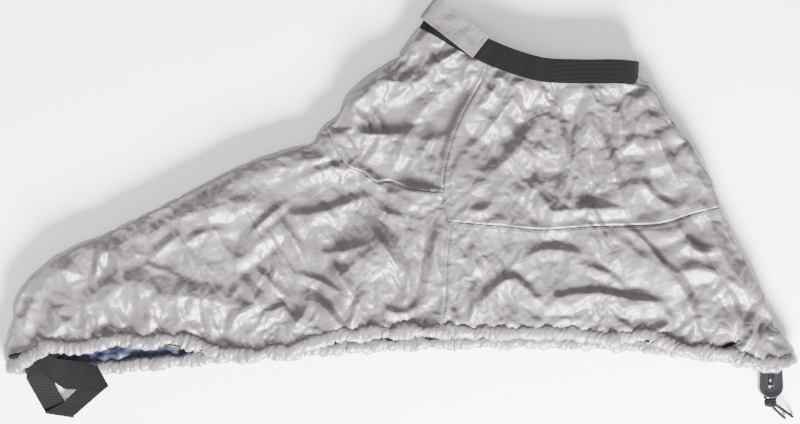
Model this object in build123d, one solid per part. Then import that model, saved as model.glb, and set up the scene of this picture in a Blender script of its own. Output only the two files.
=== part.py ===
"""Kayak spray skirt, laid flat on its side and folded along its centreline.

The frame is in millimetres. +Z points up out of the surface that the skirt lies on, +X runs from the
bow end to the stern end, and +Y runs from the hem to the waist. z = 0 is the bottom of the far layer.
Every fabric panel goes round the fold, so it has a far layer at the bottom and a near layer on top.
"""

import math
import os

from build123d import *

# ---------------------------------------------------------------- overall sizes
FOLD_HEIGHT = 44.0        # the two layers and the air between them
CLOTH = 2.0               # one layer of coated cloth with its crumple
FOLD_RADIUS = 14.0        # how roundly the cloth turns at the centreline fold
BOW_X = -496.0            # the outermost point of the hem at the bow
STERN_X = 496.0           # the outermost point of the hem at the stern
WAIST_REAR_X = 298.0      # where the waistband folds at the wearer's back
OPEN_MARGIN = 60.0        # how far the uncut shell runs past the waist and hem lines

# ---------------------------------------------------------------- hem and shock cord
CORD = 5.0                # shock cord diameter
CORD_PLAY = 0.3           # radial room round the cord in its casing
CASING = 16.0             # outer diameter of the gathered casing
CASING_END_X = 420.0      # where both casings let the cord out
PANEL_LAP = 3.0           # the panels end this far above the middle of the casing
GROMMET = 10.0            # outer diameter of the rings at the casing ends
GROMMET_LENGTH = 4.0
BOW_Y = -183.0            # where the hem turns over at the bow

# ---------------------------------------------------------------- cord lock, button and cord ends
LOCK_X = 464.5            # middle of the cord lock
HEM_EXIT_Y = -195.0       # where the cord leaves the skirt
STRAND_CLEAR = 0.5        # between a strand and the button
STRAND_STEP = 5.6         # one strand crosses over the other by this height
STRAND_INSIDE = 24.0      # straight cord inside the skirt, drawn out as the knot is pulled
STRAND_JOIN = 0.3         # between the strands and the rest of the shock cord
LOCK_WIDTH = 30.0
LOCK_TOP_WIDTH = 28.0
LOCK_LENGTH = 39.0
LOCK_DEPTH = 16.0
LOCK_CORNER = 5.0
LOCK_CLEAR = 1.0          # between the hem exit and the lock
LOCK_EDGE = 1.2           # rounding of the lock's rims
STEP_HEIGHT = 0.6         # one step of the dished faces
STEP_INSET = 2.2
STEPS = 3
CHANNEL_PLAY = 0.2        # radial room round a strand in the lock
WINDOW_WIDTH = 7.2
WINDOW_LENGTH = 20.0
WINDOW_RISE = 2.0         # the window sits this far above the lock's middle
PLUNGER = 6.0             # plunger stem diameter
PLUNGER_PLAY = 0.3
PLUNGER_HOLE = 3.4        # the hole through the plunger
BUTTON_TRAVEL = 4.0
BUTTON_WIDTH = 7.6
BUTTON_DEPTH = 10.0
BUTTON_HEIGHT = 4.0
SPRING_WIRE = 0.7
SPRING_TURNS = 5
SPRING_ROOM = 8.0         # length of the spring at rest
KNOT_WIDTH = 17.0
KNOT_WRAP = 6.4           # thickness of one wrap of the knot
KNOT_CLEAR = 0.4          # between the lock and the knot
TAIL = 4.0                # the bare, stretched cord of a tail is a little thinner

# ---------------------------------------------------------------- waistband and adjuster tab
TAB_LENGTH = 78.0
TAB_WIDTH = 33.0
TAB_ANGLE = -38.0         # direction of the tab from its fold to its free end
TAB_HINGE = (39.6, 249.4) # middle of the tab's fold
TAB_THICK = 2.0
TAB_LIFT = 0.4            # room between the hook side and the loop side
TAPE = 1.0                # one layer of hook or loop tape
TAPE_INSET = 4.0
TAB_ROOT = 14.0           # length of the sewn end beyond the fold
TAB_SEWN = 16.0           # length beside the fold that carries no tape
TAB_CORNER = 3.0

# ---------------------------------------------------------------- seams
SEAM_TAPE = 12.0
SEAM_TAPE_THICK = 0.8

# ---------------------------------------------------------------- grab loop
LOOP_THICK = 3.0
LOOP_CORNER = 3.0
HINGE_Y = -188.0
HINGE_Z = 22.0
HINGE_GAP = 0.8
LOOP_REACH = 73.0         # from the hinge to the tip
FLOOR_GAP = 0.3
ANCHOR_LEFT = -455.0
ANCHOR_RIGHT = -414.0
ANCHOR_LENGTH = 48.0
BARTACK_THICK = 1.0
BARTACK_WIDTH = 2.4
BARTACKS = 3

# ---------------------------------------------------------------- heights that follow
NEAR_Z = FOLD_HEIGHT - CASING / 2
FAR_Z = CASING / 2
MID_Z = FOLD_HEIGHT / 2
BOW_CORNER_X = BOW_X + CASING / 2
STRAND_GAP = BUTTON_WIDTH + CORD + 2 * STRAND_CLEAR
LEFT_STRAND_X = LOCK_X - STRAND_GAP / 2
RIGHT_STRAND_X = LOCK_X + STRAND_GAP / 2
LEFT_STRAND_Z = MID_Z + STRAND_STEP / 2
RIGHT_STRAND_Z = MID_Z - STRAND_STEP / 2
STRAND_TOP_Y = HEM_EXIT_Y + STRAND_INSIDE
LOCK_TOP_Y = HEM_EXIT_Y - LOCK_CLEAR
LOCK_BOTTOM_Y = LOCK_TOP_Y - LOCK_LENGTH
KNOT_TOP_Y = LOCK_BOTTOM_Y - KNOT_CLEAR

# ---------------------------------------------------------------- lines in plan
# The folded skirt, from the bow over the deck fold, the tunnel fold, the waist, the back and the stern.
OUTLINE = [
    ((BOW_X, -170.0 - OPEN_MARGIN), 20),
    ((BOW_X + 1, -172.0), 40),
    ((-479.0, -108.0), 30),
    ((-418.0, -51.0), 60),
    ((-112.0, 84.0), 12),
    ((-68.0, 144.0), 30),
    ((67.0, 282.0), 20),
    ((WAIST_REAR_X, 200.0 + OPEN_MARGIN), 20),
    ((WAIST_REAR_X, 163.0), 4),
    ((318.0, 158.0), 18),
    ((345.0, 108.0), 40),
    ((394.0, 30.0), 80),
    ((STERN_X, -178.0), 20),
    ((STERN_X, -170.0 - OPEN_MARGIN), 20),
]
# The middle of the hem casing, stern to bow on the near layer and bow to stern on the far layer.
NEAR_HEM = [
    (392.0, -176.0), (345.0, -168.0), (270.0, -157.0), (150.0, -154.0), (40.0, -150.0),
    (-70.0, -156.0), (-145.0, -175.0), (-215.0, -180.0), (-285.0, -165.0), (-355.0, -162.0),
    (-425.0, -171.0),
]
FAR_HEM = [
    (-425.0, -192.0), (-358.0, -199.0), (-270.0, -189.0), (-150.0, -178.0), (0.0, -168.0),
    (150.0, -164.0), (290.0, -169.0), (385.0, -180.0),
]
STERN_HEM = [(424.0, -193.0), (480.0, -203.0), (497.0, -188.0)]
NEAR_TURN_Y = -150.0      # where the near strand turns down to the lock
FAR_TURN_Y = -153.0
# The two edges of the waistband, front to back.
WAIST_TOP = [
    (30.0, 272.0), (50.0, 260.0), (112.0, 213.0), (155.0, 195.0), (190.0, 188.0),
    (WAIST_REAR_X + 5, 181.0),
]
WAIST_BOTTOM = [
    (WAIST_REAR_X + 5, 160.5), (195.0, 157.0), (155.0, 164.0), (110.0, 181.0), (60.0, 212.0),
    (10.0, 238.0),
]
# The side seam from the waist to the hem, and the seams where the tunnel meets the deck.
SIDE_SEAM = [(116.0, 186.0), (80.0, 119.0), (57.0, 56.0), (55.0, 10.0), (62.0, -24.0), (50.0, -158.0)]
FRONT_SEAM = [(-118.0, 100.0), (-66.0, 56.0), (-28.0, 33.0), (54.6, 22.0)]
REAR_SEAM = [(60.5, -16.0), (180.0, -25.0), (330.0, -17.0), (420.0, 10.0)]
# The flat grab loop, with x from the left of its anchor and y back from its hinge.
LOOP_OUTER = [
    (3.0, 0.0), (-13.0, -23.0), (9.0, -67.0), (44.0, -LOOP_REACH), (88.0, -34.0), (74.0, -8.0), (41.0, 0.0),
]
LOOP_HOLE = [(23.0, -33.0), (48.0, -39.0), (34.0, -56.0)]
# The two cord tails, from the knot down to the surface that the skirt lies on.
TAIL_Z = MID_Z - 2.0
LEFT_TAIL = [(LOCK_X + 3.0, KNOT_TOP_Y - 10.6, TAIL_Z), (LOCK_X + 13.5, KNOT_TOP_Y - 21.1, TAIL_Z - 10.0),
             (LOCK_X + 23.0, KNOT_TOP_Y - 27.6, TAIL / 2 + 0.4)]
RIGHT_TAIL = [(LOCK_X + 6.0, KNOT_TOP_Y - 8.1, TAIL_Z), (LOCK_X + 21.0, KNOT_TOP_Y - 17.6, TAIL_Z - 9.5),
              (LOCK_X + 32.5, KNOT_TOP_Y - 26.1, TAIL / 2 + 0.4)]


# ---------------------------------------------------------------- shape helpers
def region(points, bottom, top):
    """A flat polygon as a block from one height to another."""
    face = make_face(Polyline(*points, close=True))
    return Pos(0, 0, bottom) * extrude(face, top - bottom)


def full_radii(points):
    """The largest comfortable radius at each corner of a cord's route."""
    radii = []
    for before, corner, after in zip(points, points[1:], points[2:]):
        run_in = Vector(*corner) - Vector(*before)
        run_out = Vector(*after) - Vector(*corner)
        half_turn = math.radians(run_in.get_angle(run_out)) / 2
        radii.append(0.45 * min(run_in.length, run_out.length) / math.tan(half_turn))
    return radii


def tube(points, diameter):
    """A round tube along straight runs joined by tangent arcs."""
    path = FilletPolyline(*points, radius=full_radii(points))
    start = Plane(origin=path @ 0, z_dir=path % 0)
    return sweep(start * Circle(diameter / 2), path=path)


def crowned(face, bottom, top, radius):
    """A block over a face, with its two rims rounded."""
    block = Pos(0, 0, bottom) * extrude(face, top - bottom)
    rims = block.edges().group_by(Axis.Z)
    return fillet(rims[0] + rims[-1], radius)


def strip(points, width, bottom, top):
    """A flat strip of even width along a line of points."""
    face = trace(Polyline(*points), line_width=width)
    return Pos(0, 0, bottom) * extrude(face, top - bottom)


def above(points, lap):
    """The plan area above a line that runs from bow to stern."""
    left, right = BOW_X - OPEN_MARGIN, STERN_X + OPEN_MARGIN
    line = [(x, y + lap) for x, y in points]
    return [(left, line[0][1]), *line, (right, line[-1][1]), (right, 400.0), (left, 400.0)]


# ---------------------------------------------------------------- the folded shell and its openings
def folded_shell():
    """The whole double layer before the seams, open at the hem and at the waist."""
    points = [point for point, _ in OUTLINE]
    radii = [radius for _, radius in OUTLINE]
    face = make_face(FilletPolyline(*points, radius=radii, close=True))
    outside = crowned(face, 0, FOLD_HEIGHT, FOLD_RADIUS)
    inside = crowned(offset(face, -CLOTH), CLOTH, FOLD_HEIGHT - CLOTH, FOLD_RADIUS - CLOTH)
    shell = outside - inside
    bow = [(BOW_CORNER_X, BOW_Y)]
    near_edge = bow + NEAR_HEM[::-1] + STERN_HEM
    far_edge = bow + FAR_HEM + STERN_HEM
    near = shell & region(above(near_edge, PANEL_LAP), MID_Z, FOLD_HEIGHT)
    far = shell & region(above(far_edge, PANEL_LAP), 0, MID_Z)
    below_waist = region([*WAIST_TOP, (560.0, 181.0), (560.0, -300.0), (-560.0, -300.0), (-560.0, 272.0)],
                         0, FOLD_HEIGHT)
    return (near + far) & below_waist, face


def hem_routes():
    """The whole route of the shock cord, cut in two at the bow."""
    near = [
        (LEFT_STRAND_X, HEM_EXIT_Y, LEFT_STRAND_Z),
        (LEFT_STRAND_X, NEAR_TURN_Y, LEFT_STRAND_Z),
        *[(x, y, NEAR_Z) for x, y in NEAR_HEM],
        (BOW_CORNER_X, BOW_Y, NEAR_Z),
    ]
    far = [
        (BOW_CORNER_X, BOW_Y - 2.0, FAR_Z),
        *[(x, y, FAR_Z) for x, y in FAR_HEM],
        (RIGHT_STRAND_X, FAR_TURN_Y, RIGHT_STRAND_Z),
        (RIGHT_STRAND_X, HEM_EXIT_Y, RIGHT_STRAND_Z),
    ]
    return near + far


def waistband(shell):
    """The elastic that closes round the waist, where the shell meets the band's outline."""
    return shell & region([*WAIST_TOP, *WAIST_BOTTOM], 0, FOLD_HEIGHT)


def panels(body):
    """The four panels that the seams part."""
    far_x, far_y = 600.0, 400.0
    front = region([*SIDE_SEAM, (50.0, -far_y), (-far_x, -far_y), (-far_x, far_y), (116.0, far_y)],
                   0, FOLD_HEIGHT)
    tunnel_front = region([*FRONT_SEAM, (200.0, 22.0), (200.0, far_y), (-118.0, far_y)], 0, FOLD_HEIGHT)
    tunnel_rear = region([(0.0, -16.0), *REAR_SEAM, (420.0, far_y), (0.0, far_y)], 0, FOLD_HEIGHT)
    return {
        "front_tunnel_panel": body & front & tunnel_front,
        "front_deck_panel": (body & front) - tunnel_front,
        "rear_tunnel_panel": (body - front) & tunnel_rear,
        "rear_deck_panel": (body - front) - tunnel_rear,
    }


def seam_tapes(face):
    """Sealing tape on the inside of each seam, a near and a far piece of each."""
    flat = Pos(0, 0, 0) * extrude(offset(face, -FOLD_RADIUS), FOLD_HEIGHT)
    room = flat & region(above([(BOW_X, -140.0), (STERN_X, -140.0)], 0), 0, FOLD_HEIGHT)
    band = region([*WAIST_TOP, *WAIST_BOTTOM], 0, FOLD_HEIGHT)
    parts = {}
    heights = {"near": FOLD_HEIGHT - CLOTH - SEAM_TAPE_THICK, "far": CLOTH}
    for side, bottom in heights.items():
        top = bottom + SEAM_TAPE_THICK
        side_tape = strip(SIDE_SEAM, SEAM_TAPE, bottom, top)
        parts[f"side_seam_tape_{side}"] = (side_tape & room) - band
        for name, line in (("front_seam_tape", FRONT_SEAM), ("rear_seam_tape", REAR_SEAM)):
            parts[f"{name}_{side}"] = (strip(line, SEAM_TAPE, bottom, top) & room) - side_tape - band
    return parts


# ---------------------------------------------------------------- hem
def hem_parts():
    """The two casings with their bore, their end rings, and the shock cord that runs through both."""
    route = hem_routes()
    outer = tube(route[1:-1], CASING)
    bore = tube(route, CORD + 2 * CORD_PLAY)
    cord = tube(route, CORD)
    held = region([(-560, -400), (CASING_END_X, -400), (CASING_END_X, 400), (-560, 400)], 0, FOLD_HEIGHT)
    upper = region([(-560, -400), (560, -400), (560, 400), (-560, 400)], MID_Z, FOLD_HEIGHT)
    casing = (outer & held) - bore
    ring = region([(CASING_END_X, -400), (CASING_END_X + GROMMET_LENGTH, -400),
                   (CASING_END_X + GROMMET_LENGTH, 400), (CASING_END_X, 400)], 0, FOLD_HEIGHT)
    grommets = (tube(route, GROMMET) & ring) - bore
    ends_left = LEFT_STRAND_X - CORD
    ends = region([(ends_left, -400), (560, -400), (560, STRAND_TOP_Y + STRAND_JOIN),
                   (ends_left, STRAND_TOP_Y + STRAND_JOIN)], 0, FOLD_HEIGHT)
    parts = {
        "hem_casing_near": casing & upper,
        "hem_casing_far": casing - upper,
        "cord_exit_grommets": grommets,
        "shock_cord": cord - ends,
    }
    return parts, outer & held


# ---------------------------------------------------------------- adjuster tab
def tab_plane(height):
    """The plane of the tab, with its origin at the middle of the fold and X along the tab."""
    turn = math.radians(TAB_ANGLE)
    return Plane(origin=(*TAB_HINGE, height), x_dir=(math.cos(turn), math.sin(turn), 0), z_dir=(0, 0, 1))


def tab_block(start, end, width, bottom, top):
    """A flat piece of the tab, from one distance to another along it."""
    centre = (start + end) / 2
    face = tab_plane(bottom) * Pos(centre, 0) * RectangleRounded(end - start, width, TAB_CORNER)
    return extrude(face, top - bottom)


def tab_parts(outside_face):
    """The tab, its hook tape, the loop tape under it and the sewn end in front of the fold."""
    loop_top = FOLD_HEIGHT + TAPE
    hook_bottom = loop_top + TAB_LIFT
    tab_bottom = hook_bottom + TAPE
    tape_width = TAB_WIDTH - 2 * TAPE_INSET
    tape_end = TAB_LENGTH - TAPE_INSET
    root = tab_block(-TAB_ROOT, -HINGE_GAP, TAB_WIDTH, FOLD_HEIGHT - FOLD_RADIUS, FOLD_HEIGHT + TAPE)
    return {
        "adjuster_tab": tab_block(HINGE_GAP, TAB_LENGTH, TAB_WIDTH, tab_bottom, tab_bottom + TAB_THICK),
        "hook_tape": tab_block(TAB_SEWN, tape_end, tape_width, hook_bottom, tab_bottom),
        "loop_tape": tab_block(TAB_SEWN, tape_end, tape_width, FOLD_HEIGHT, loop_top),
        "tab_root": root - crowned(outside_face, 0, FOLD_HEIGHT, FOLD_RADIUS),
    }


# ---------------------------------------------------------------- grab loop
def grab_loop_parts():
    """The webbing loop, the webbing end that anchors it and the bar tacks across that end."""
    tip_height = FLOOR_GAP + LOOP_THICK / 2
    slope = math.degrees(math.asin((HINGE_Z - tip_height) / LOOP_REACH))
    ring = extrude(make_face(FilletPolyline(*LOOP_OUTER, radius=LOOP_CORNER, close=True)), LOOP_THICK)
    hole = extrude(make_face(Polyline(*LOOP_HOLE, close=True)), LOOP_THICK)
    flat = Pos(0, -HINGE_GAP, -LOOP_THICK / 2) * (ring - hole)
    loop = Pos(ANCHOR_LEFT, HINGE_Y, HINGE_Z) * Rot(slope, 0, 0) * flat

    top = HINGE_Z + LOOP_THICK / 2
    bottom = HINGE_Z - LOOP_THICK / 2
    flat_start = HINGE_Y + 12.0
    inner_end = HINGE_Y + ANCHOR_LENGTH
    front = HINGE_Y + LOOP_THICK
    profile = [
        (front, top), (flat_start, top), (inner_end, CLOTH + LOOP_THICK),
        (inner_end, CLOTH), (inner_end - 6.0, CLOTH), (flat_start - 2.0, bottom), (front, bottom),
    ]
    face = Plane.YZ * make_face(Polyline(*profile, close=True))
    anchor = Pos(ANCHOR_LEFT, 0, 0) * extrude(face, ANCHOR_RIGHT - ANCHOR_LEFT)
    bartacks = Part()
    for row in range(BARTACKS):
        y = front + BARTACK_WIDTH * (1 + 1.6 * row)
        bar = Box(ANCHOR_RIGHT - ANCHOR_LEFT - 6.0, BARTACK_WIDTH, BARTACK_THICK,
                  align=(Align.CENTER, Align.CENTER, Align.MIN))
        bartacks += Pos((ANCHOR_LEFT + ANCHOR_RIGHT) / 2, y, top) * bar
    return {"grab_loop": loop, "grab_loop_anchor": anchor, "grab_loop_bartacks": bartacks}


# ---------------------------------------------------------------- cord lock
def lock_face():
    """The egg-shaped face of the cord lock, round at its lower end."""
    radius = LOCK_WIDTH / 2
    centre = radius - LOCK_LENGTH / 2
    top = LOCK_LENGTH / 2
    half_top = LOCK_TOP_WIDTH / 2
    sides = Polyline((-radius, centre), (-half_top, top), (half_top, top), (radius, centre))
    end = ThreePointArc((radius, centre), (0, -top), (-radius, centre))
    return make_face(sides + end)


def lock_parts():
    """Barrel, sprung button and spring, about the lock's own middle."""
    half = LOCK_LENGTH / 2
    depth = LOCK_DEPTH / 2
    face = lock_face()
    barrel = Pos(0, 0, -depth) * extrude(face, LOCK_DEPTH)
    barrel = fillet(barrel.edges().filter_by(Axis.Z).sort_by(Axis.Y)[-2:], LOCK_CORNER)
    rims = barrel.edges().group_by(Axis.Z)
    barrel = fillet(rims[0] + rims[-1], LOCK_EDGE)
    for step in range(1, STEPS + 1):
        inset = 2 * STEP_INSET * step
        dish = extrude(SlotOverall(LOCK_LENGTH - inset, LOCK_WIDTH - inset, rotation=90), STEP_HEIGHT)
        barrel -= Pos(0, 0, depth - STEP_HEIGHT * step) * dish
        barrel -= Pos(0, 0, -depth + STEP_HEIGHT * (step - 1)) * dish
    window = Pos(0, WINDOW_RISE, -depth) * extrude(SlotOverall(WINDOW_LENGTH, WINDOW_WIDTH, rotation=90), LOCK_DEPTH)
    barrel -= window

    stem_radius = PLUNGER / 2
    bore_radius = stem_radius + PLUNGER_PLAY
    spring_bottom = WINDOW_RISE - WINDOW_LENGTH / 2 - SPRING_ROOM / 2
    stem_bottom = spring_bottom + SPRING_ROOM
    bore = Pos(0, spring_bottom, 0) * extrude(Plane.XZ * Circle(bore_radius), -(half - spring_bottom))
    barrel -= bore
    for side, height in ((-1, STRAND_STEP / 2), (1, -STRAND_STEP / 2)):
        hole = Plane.XZ * Circle(CORD / 2 + CHANNEL_PLAY)
        barrel -= Pos(side * STRAND_GAP / 2, -half, height) * extrude(hole, -LOCK_LENGTH)

    head_bottom = half + BUTTON_TRAVEL + PLUNGER_PLAY
    stem = Pos(0, stem_bottom, 0) * extrude(Plane.XZ * Circle(stem_radius), -(head_bottom - stem_bottom))
    head = Pos(0, head_bottom + BUTTON_HEIGHT / 2, 0) * Box(BUTTON_WIDTH, BUTTON_HEIGHT, BUTTON_DEPTH)
    head = fillet(head.edges().filter_by(Axis.Y), BUTTON_WIDTH / 4)
    plunger = stem + head
    plunger -= Pos(0, stem_bottom + PLUNGER, -depth) * extrude(Circle(PLUNGER_HOLE / 2), LOCK_DEPTH)

    coil_radius = stem_radius - SPRING_WIRE / 2
    pitch = (SPRING_ROOM - SPRING_WIRE) / SPRING_TURNS
    helix = Helix(pitch=pitch, height=pitch * SPRING_TURNS, radius=coil_radius)
    start = Plane(origin=helix @ 0, z_dir=helix % 0)
    wire = sweep(start * Circle(SPRING_WIRE / 2), path=helix, is_frenet=True)
    spring = Pos(0, spring_bottom + SPRING_WIRE / 2, 0) * Rot(-90, 0, 0) * wire
    place = Pos(LOCK_X, LOCK_TOP_Y - half, MID_Z)
    return {
        "cord_lock_barrel": place * barrel,
        "cord_lock_button": place * plunger,
        "cord_lock_spring": place * spring,
    }


def cord_end_parts():
    """The two strands through the lock, the knot below it and the two tails."""
    wrap = KNOT_WRAP / 2
    knot = Part()
    for row in range(2):
        y = KNOT_TOP_Y - wrap - row * KNOT_WRAP * 0.9
        width = KNOT_WIDTH - 2.0 * row
        rod = extrude(Plane.YZ * Circle(wrap), width)
        knot += Pos(LOCK_X - width / 2, y, MID_Z - STRAND_STEP / 4) * rod
        knot += Pos(LOCK_X - width / 2, y, MID_Z + STRAND_STEP / 4) * rod
    length = STRAND_TOP_Y - KNOT_TOP_Y + wrap
    parts = {"cord_knot": knot}
    strands = (("left", LEFT_STRAND_X, LEFT_STRAND_Z), ("right", RIGHT_STRAND_X, RIGHT_STRAND_Z))
    for side, x, z in strands:
        rod = Pos(x, STRAND_TOP_Y, z) * extrude(Plane.XZ * Circle(CORD / 2), length)
        parts[f"cord_strand_{side}"] = rod - knot
    for side, route in (("left", LEFT_TAIL), ("right", RIGHT_TAIL)):
        parts[f"cord_tail_{side}"] = tube(route, TAIL) - knot
    return parts


def main():
    """Build every node and write it."""
    os.makedirs("parts", exist_ok=True)
    shell, face = folded_shell()
    hem, casing = hem_parts()
    elastic = waistband(shell)
    body = shell - elastic - casing
    nodes = {
        **panels(body),
        "waist_elastic": elastic,
        **seam_tapes(face),
        **hem,
        **tab_parts(face),
        **grab_loop_parts(),
        **lock_parts(),
        **cord_end_parts(),
    }
    for name, shape in nodes.items():
        export_step(shape, f"parts/{name}.step")
    for name, route in (("shock cord", hem_routes()), ("left tail", LEFT_TAIL), ("right tail", RIGHT_TAIL)):
        print(name, "radii", [round(radius, 1) for radius in full_radii(route)])


if __name__ == "__main__":
    main()
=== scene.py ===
"""Kayak spray skirt lying folded on its side: its cloth, webbing, elastic and cords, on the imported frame.

Everything is in metres in the frame's own axes: +X from bow to stern, +Y from hem to waist, +Z up.
Lines in plan are given in millimetres and turned into metres where they are read.
"""

import logging
import math
from dataclasses import dataclass, field
from enum import Enum

import bpy
import numpy as np
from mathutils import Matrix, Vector
from mathutils.bvhtree import BVHTree
from mathutils.geometry import delaunay_2d_cdt


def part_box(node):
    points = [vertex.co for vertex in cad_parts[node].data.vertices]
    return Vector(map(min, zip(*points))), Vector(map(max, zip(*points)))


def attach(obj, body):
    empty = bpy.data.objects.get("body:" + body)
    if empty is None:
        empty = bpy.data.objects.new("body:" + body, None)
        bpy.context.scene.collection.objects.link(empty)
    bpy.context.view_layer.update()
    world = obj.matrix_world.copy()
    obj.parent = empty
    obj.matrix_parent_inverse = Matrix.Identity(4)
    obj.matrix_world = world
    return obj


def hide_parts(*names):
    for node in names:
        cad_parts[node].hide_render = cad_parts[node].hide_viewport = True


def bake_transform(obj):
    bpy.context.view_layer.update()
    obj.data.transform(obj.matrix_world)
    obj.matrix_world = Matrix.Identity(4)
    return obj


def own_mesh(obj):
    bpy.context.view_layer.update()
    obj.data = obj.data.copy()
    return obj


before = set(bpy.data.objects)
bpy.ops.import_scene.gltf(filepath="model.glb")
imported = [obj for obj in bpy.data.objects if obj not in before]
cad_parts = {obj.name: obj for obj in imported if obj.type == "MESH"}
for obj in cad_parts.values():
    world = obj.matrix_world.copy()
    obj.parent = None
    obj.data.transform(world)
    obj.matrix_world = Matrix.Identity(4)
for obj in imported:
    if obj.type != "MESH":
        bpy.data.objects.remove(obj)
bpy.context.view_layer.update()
LOG = logging.getLogger("spray_skirt")
MM = 0.001

Array = np.ndarray
Object = bpy.types.Object
Material = bpy.types.Material


# ============================================================ small geometry
def metres(points: list[tuple[float, ...]]) -> Array:
    """Turn a list of points in millimetres into an array in metres."""
    return np.array(points, float) * MM


def unit(vectors: Array) -> Array:
    """Scale vectors to length one along their last axis."""
    return vectors / np.maximum(np.linalg.norm(vectors, axis=-1, keepdims=True), 1e-12)


def run_lengths(line: Array) -> Array:
    """Give the distance along a line at each of its points."""
    return np.concatenate([[0.0], np.cumsum(np.linalg.norm(np.diff(line, axis=0), axis=1))])


def resampled(line: Array, step: float) -> Array:
    """Space points evenly along a line, about one step apart.

    Args:
        line: Points along the line, in metres.
        step: Wanted distance between neighbours, in metres.
    Returns:
        The evenly spaced points, ends included.
    """
    along = run_lengths(line)
    at = np.linspace(0.0, along[-1], max(2, round(along[-1] / step) + 1))
    return np.stack([np.interp(at, along, line[:, k]) for k in range(line.shape[1])], axis=1)


def flowing(line: Array, step: float) -> Array:
    """Run a smooth curve through the points of a line.

    Args:
        line: Points that the curve passes through, in metres.
        step: Distance between the points of the result, in metres.
    Returns:
        Evenly spaced points on the curve.
    """
    chord = np.sqrt(np.linalg.norm(np.diff(line, axis=0), axis=1))
    knots = np.concatenate([[0.0], np.cumsum(chord)])
    slopes = np.gradient(line, knots, axis=0)
    fine = np.linspace(0.0, knots[-1], 24 * len(line))
    i = np.clip(np.searchsorted(knots, fine, side="right") - 1, 0, len(line) - 2)
    span = (knots[i + 1] - knots[i])[:, None]
    t = ((fine - knots[i])[:, None]) / span
    curve = (
        (2 * t**3 - 3 * t**2 + 1) * line[i]
        + (t**3 - 2 * t**2 + t) * span * slopes[i]
        + (3 * t**2 - 2 * t**3) * line[i + 1]
        + (t**3 - t**2) * span * slopes[i + 1]
    )
    return resampled(curve, step)


def to_line(points: Array, line: Array) -> tuple[Array, Array]:
    """Measure points against a line in plan.

    Args:
        points: Places in plan, one row each.
        line: Points along the line.
    Returns:
        The distance of each point from the line, and how far along the line its nearest place is.
    """
    along = run_lengths(line)
    points = np.asarray(points, float)
    square = (line**2).sum(axis=1)
    nearest = np.concatenate([
        np.argmin(square - 2 * points[k:k + 20000] @ line.T, axis=1) for k in range(0, len(points), 20000)
    ]) if len(points) else np.zeros(0, int)
    best = np.full(len(points), np.inf)
    where = np.zeros(len(points))
    for shift in (-1, 0):
        i = np.clip(nearest + shift, 0, len(line) - 2)
        start, ahead = line[i], line[i + 1] - line[i]
        length2 = np.maximum((ahead**2).sum(axis=1), 1e-18)
        t = np.clip(((points - start) * ahead).sum(axis=1) / length2, 0.0, 1.0)
        distance = np.linalg.norm(points - start - t[:, None] * ahead, axis=1)
        nearer = distance < best
        best[nearer] = distance[nearer]
        where[nearer] = (along[i] + t * np.sqrt(length2))[nearer]
    return best, where


def within(points: Array, outline: Array) -> Array:
    """Say which points in plan lie inside a closed outline."""
    inside = np.zeros(len(points), bool)
    x, y = points[:, 0], points[:, 1]
    for a, b in zip(outline, np.roll(outline, -1, axis=0)):
        crosses = (a[1] > y) != (b[1] > y)
        rise = b[1] - a[1]
        at = a[0] + (y - a[1]) * (b[0] - a[0]) / (rise if abs(rise) > 1e-12 else 1e-12)
        inside ^= crosses & (x < at)
    return inside


def smooth_steps(value: Array, low: float, high: float) -> Array:
    """Ease from 0 at low to 1 at high."""
    t = np.clip((value - low) / (high - low), 0.0, 1.0)
    return t * t * (3 - 2 * t)


class Ripple:
    """A smooth random function of a few waves, the same on every run."""

    def __init__(self, seed: int, period: float, count: int = 6, spread: float = 0.35) -> None:
        """Draw the waves.

        Args:
            seed: Picks the waves.
            period: Their usual wavelength, in metres.
            count: How many waves are added.
            spread: How much the wavelengths differ, as a share.
        """
        draw = np.random.default_rng(seed)
        self.turns = 2 * math.pi / (period * (1 + spread * draw.uniform(-1, 1, count)))
        self.phases = draw.uniform(0, 2 * math.pi, count)
        self.angles = draw.uniform(0, math.pi, count)

    def along(self, distance: Array) -> Array:
        """Give the ripple's height at distances along a line, about -1 to 1."""
        waves = np.sin(np.multiply.outer(distance, self.turns) + self.phases)
        return waves.sum(-1) / math.sqrt(len(self.turns))

    def over(self, points: Array) -> Array:
        """Give the ripple's height at places in plan, about -1 to 1."""
        ways = np.stack([np.cos(self.angles), np.sin(self.angles)])
        waves = np.sin((points[:, :2] @ ways) * self.turns + self.phases)
        return waves.sum(-1) / math.sqrt(len(self.turns))


# ============================================================ mesh objects
def deselect() -> None:
    """Leave nothing selected, so that an operator acts only on what comes next."""
    if bpy.context.object and bpy.context.object.mode != "OBJECT":
        bpy.ops.object.mode_set(mode="OBJECT")
    bpy.ops.object.select_all(action="DESELECT")


def select(obj: Object) -> None:
    """Select one object and make it the active one."""
    deselect()
    obj.select_set(True)
    bpy.context.view_layer.objects.active = obj


def mesh_object(name: str, points: Array, faces: list, uv: Array | None = None) -> Object:
    """Make a mesh object in the frame.

    Args:
        name: Name of the piece.
        points: Corner places, in metres.
        faces: Corner numbers of each face.
        uv: A pattern coordinate for each corner place, or None.
    Returns:
        The linked object.
    """
    mesh = bpy.data.meshes.new(name)
    mesh.from_pydata([tuple(p) for p in points], [], [tuple(f) for f in faces])
    if uv is not None:
        layer = mesh.uv_layers.new(name="pattern")
        corners = np.zeros(len(mesh.loops), np.int32)
        mesh.loops.foreach_get("vertex_index", corners)
        layer.data.foreach_set("uv", uv[corners].astype(np.float32).ravel())
    mesh.update()
    obj = bpy.data.objects.new(name, mesh)
    bpy.context.scene.collection.objects.link(obj)
    return obj


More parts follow.
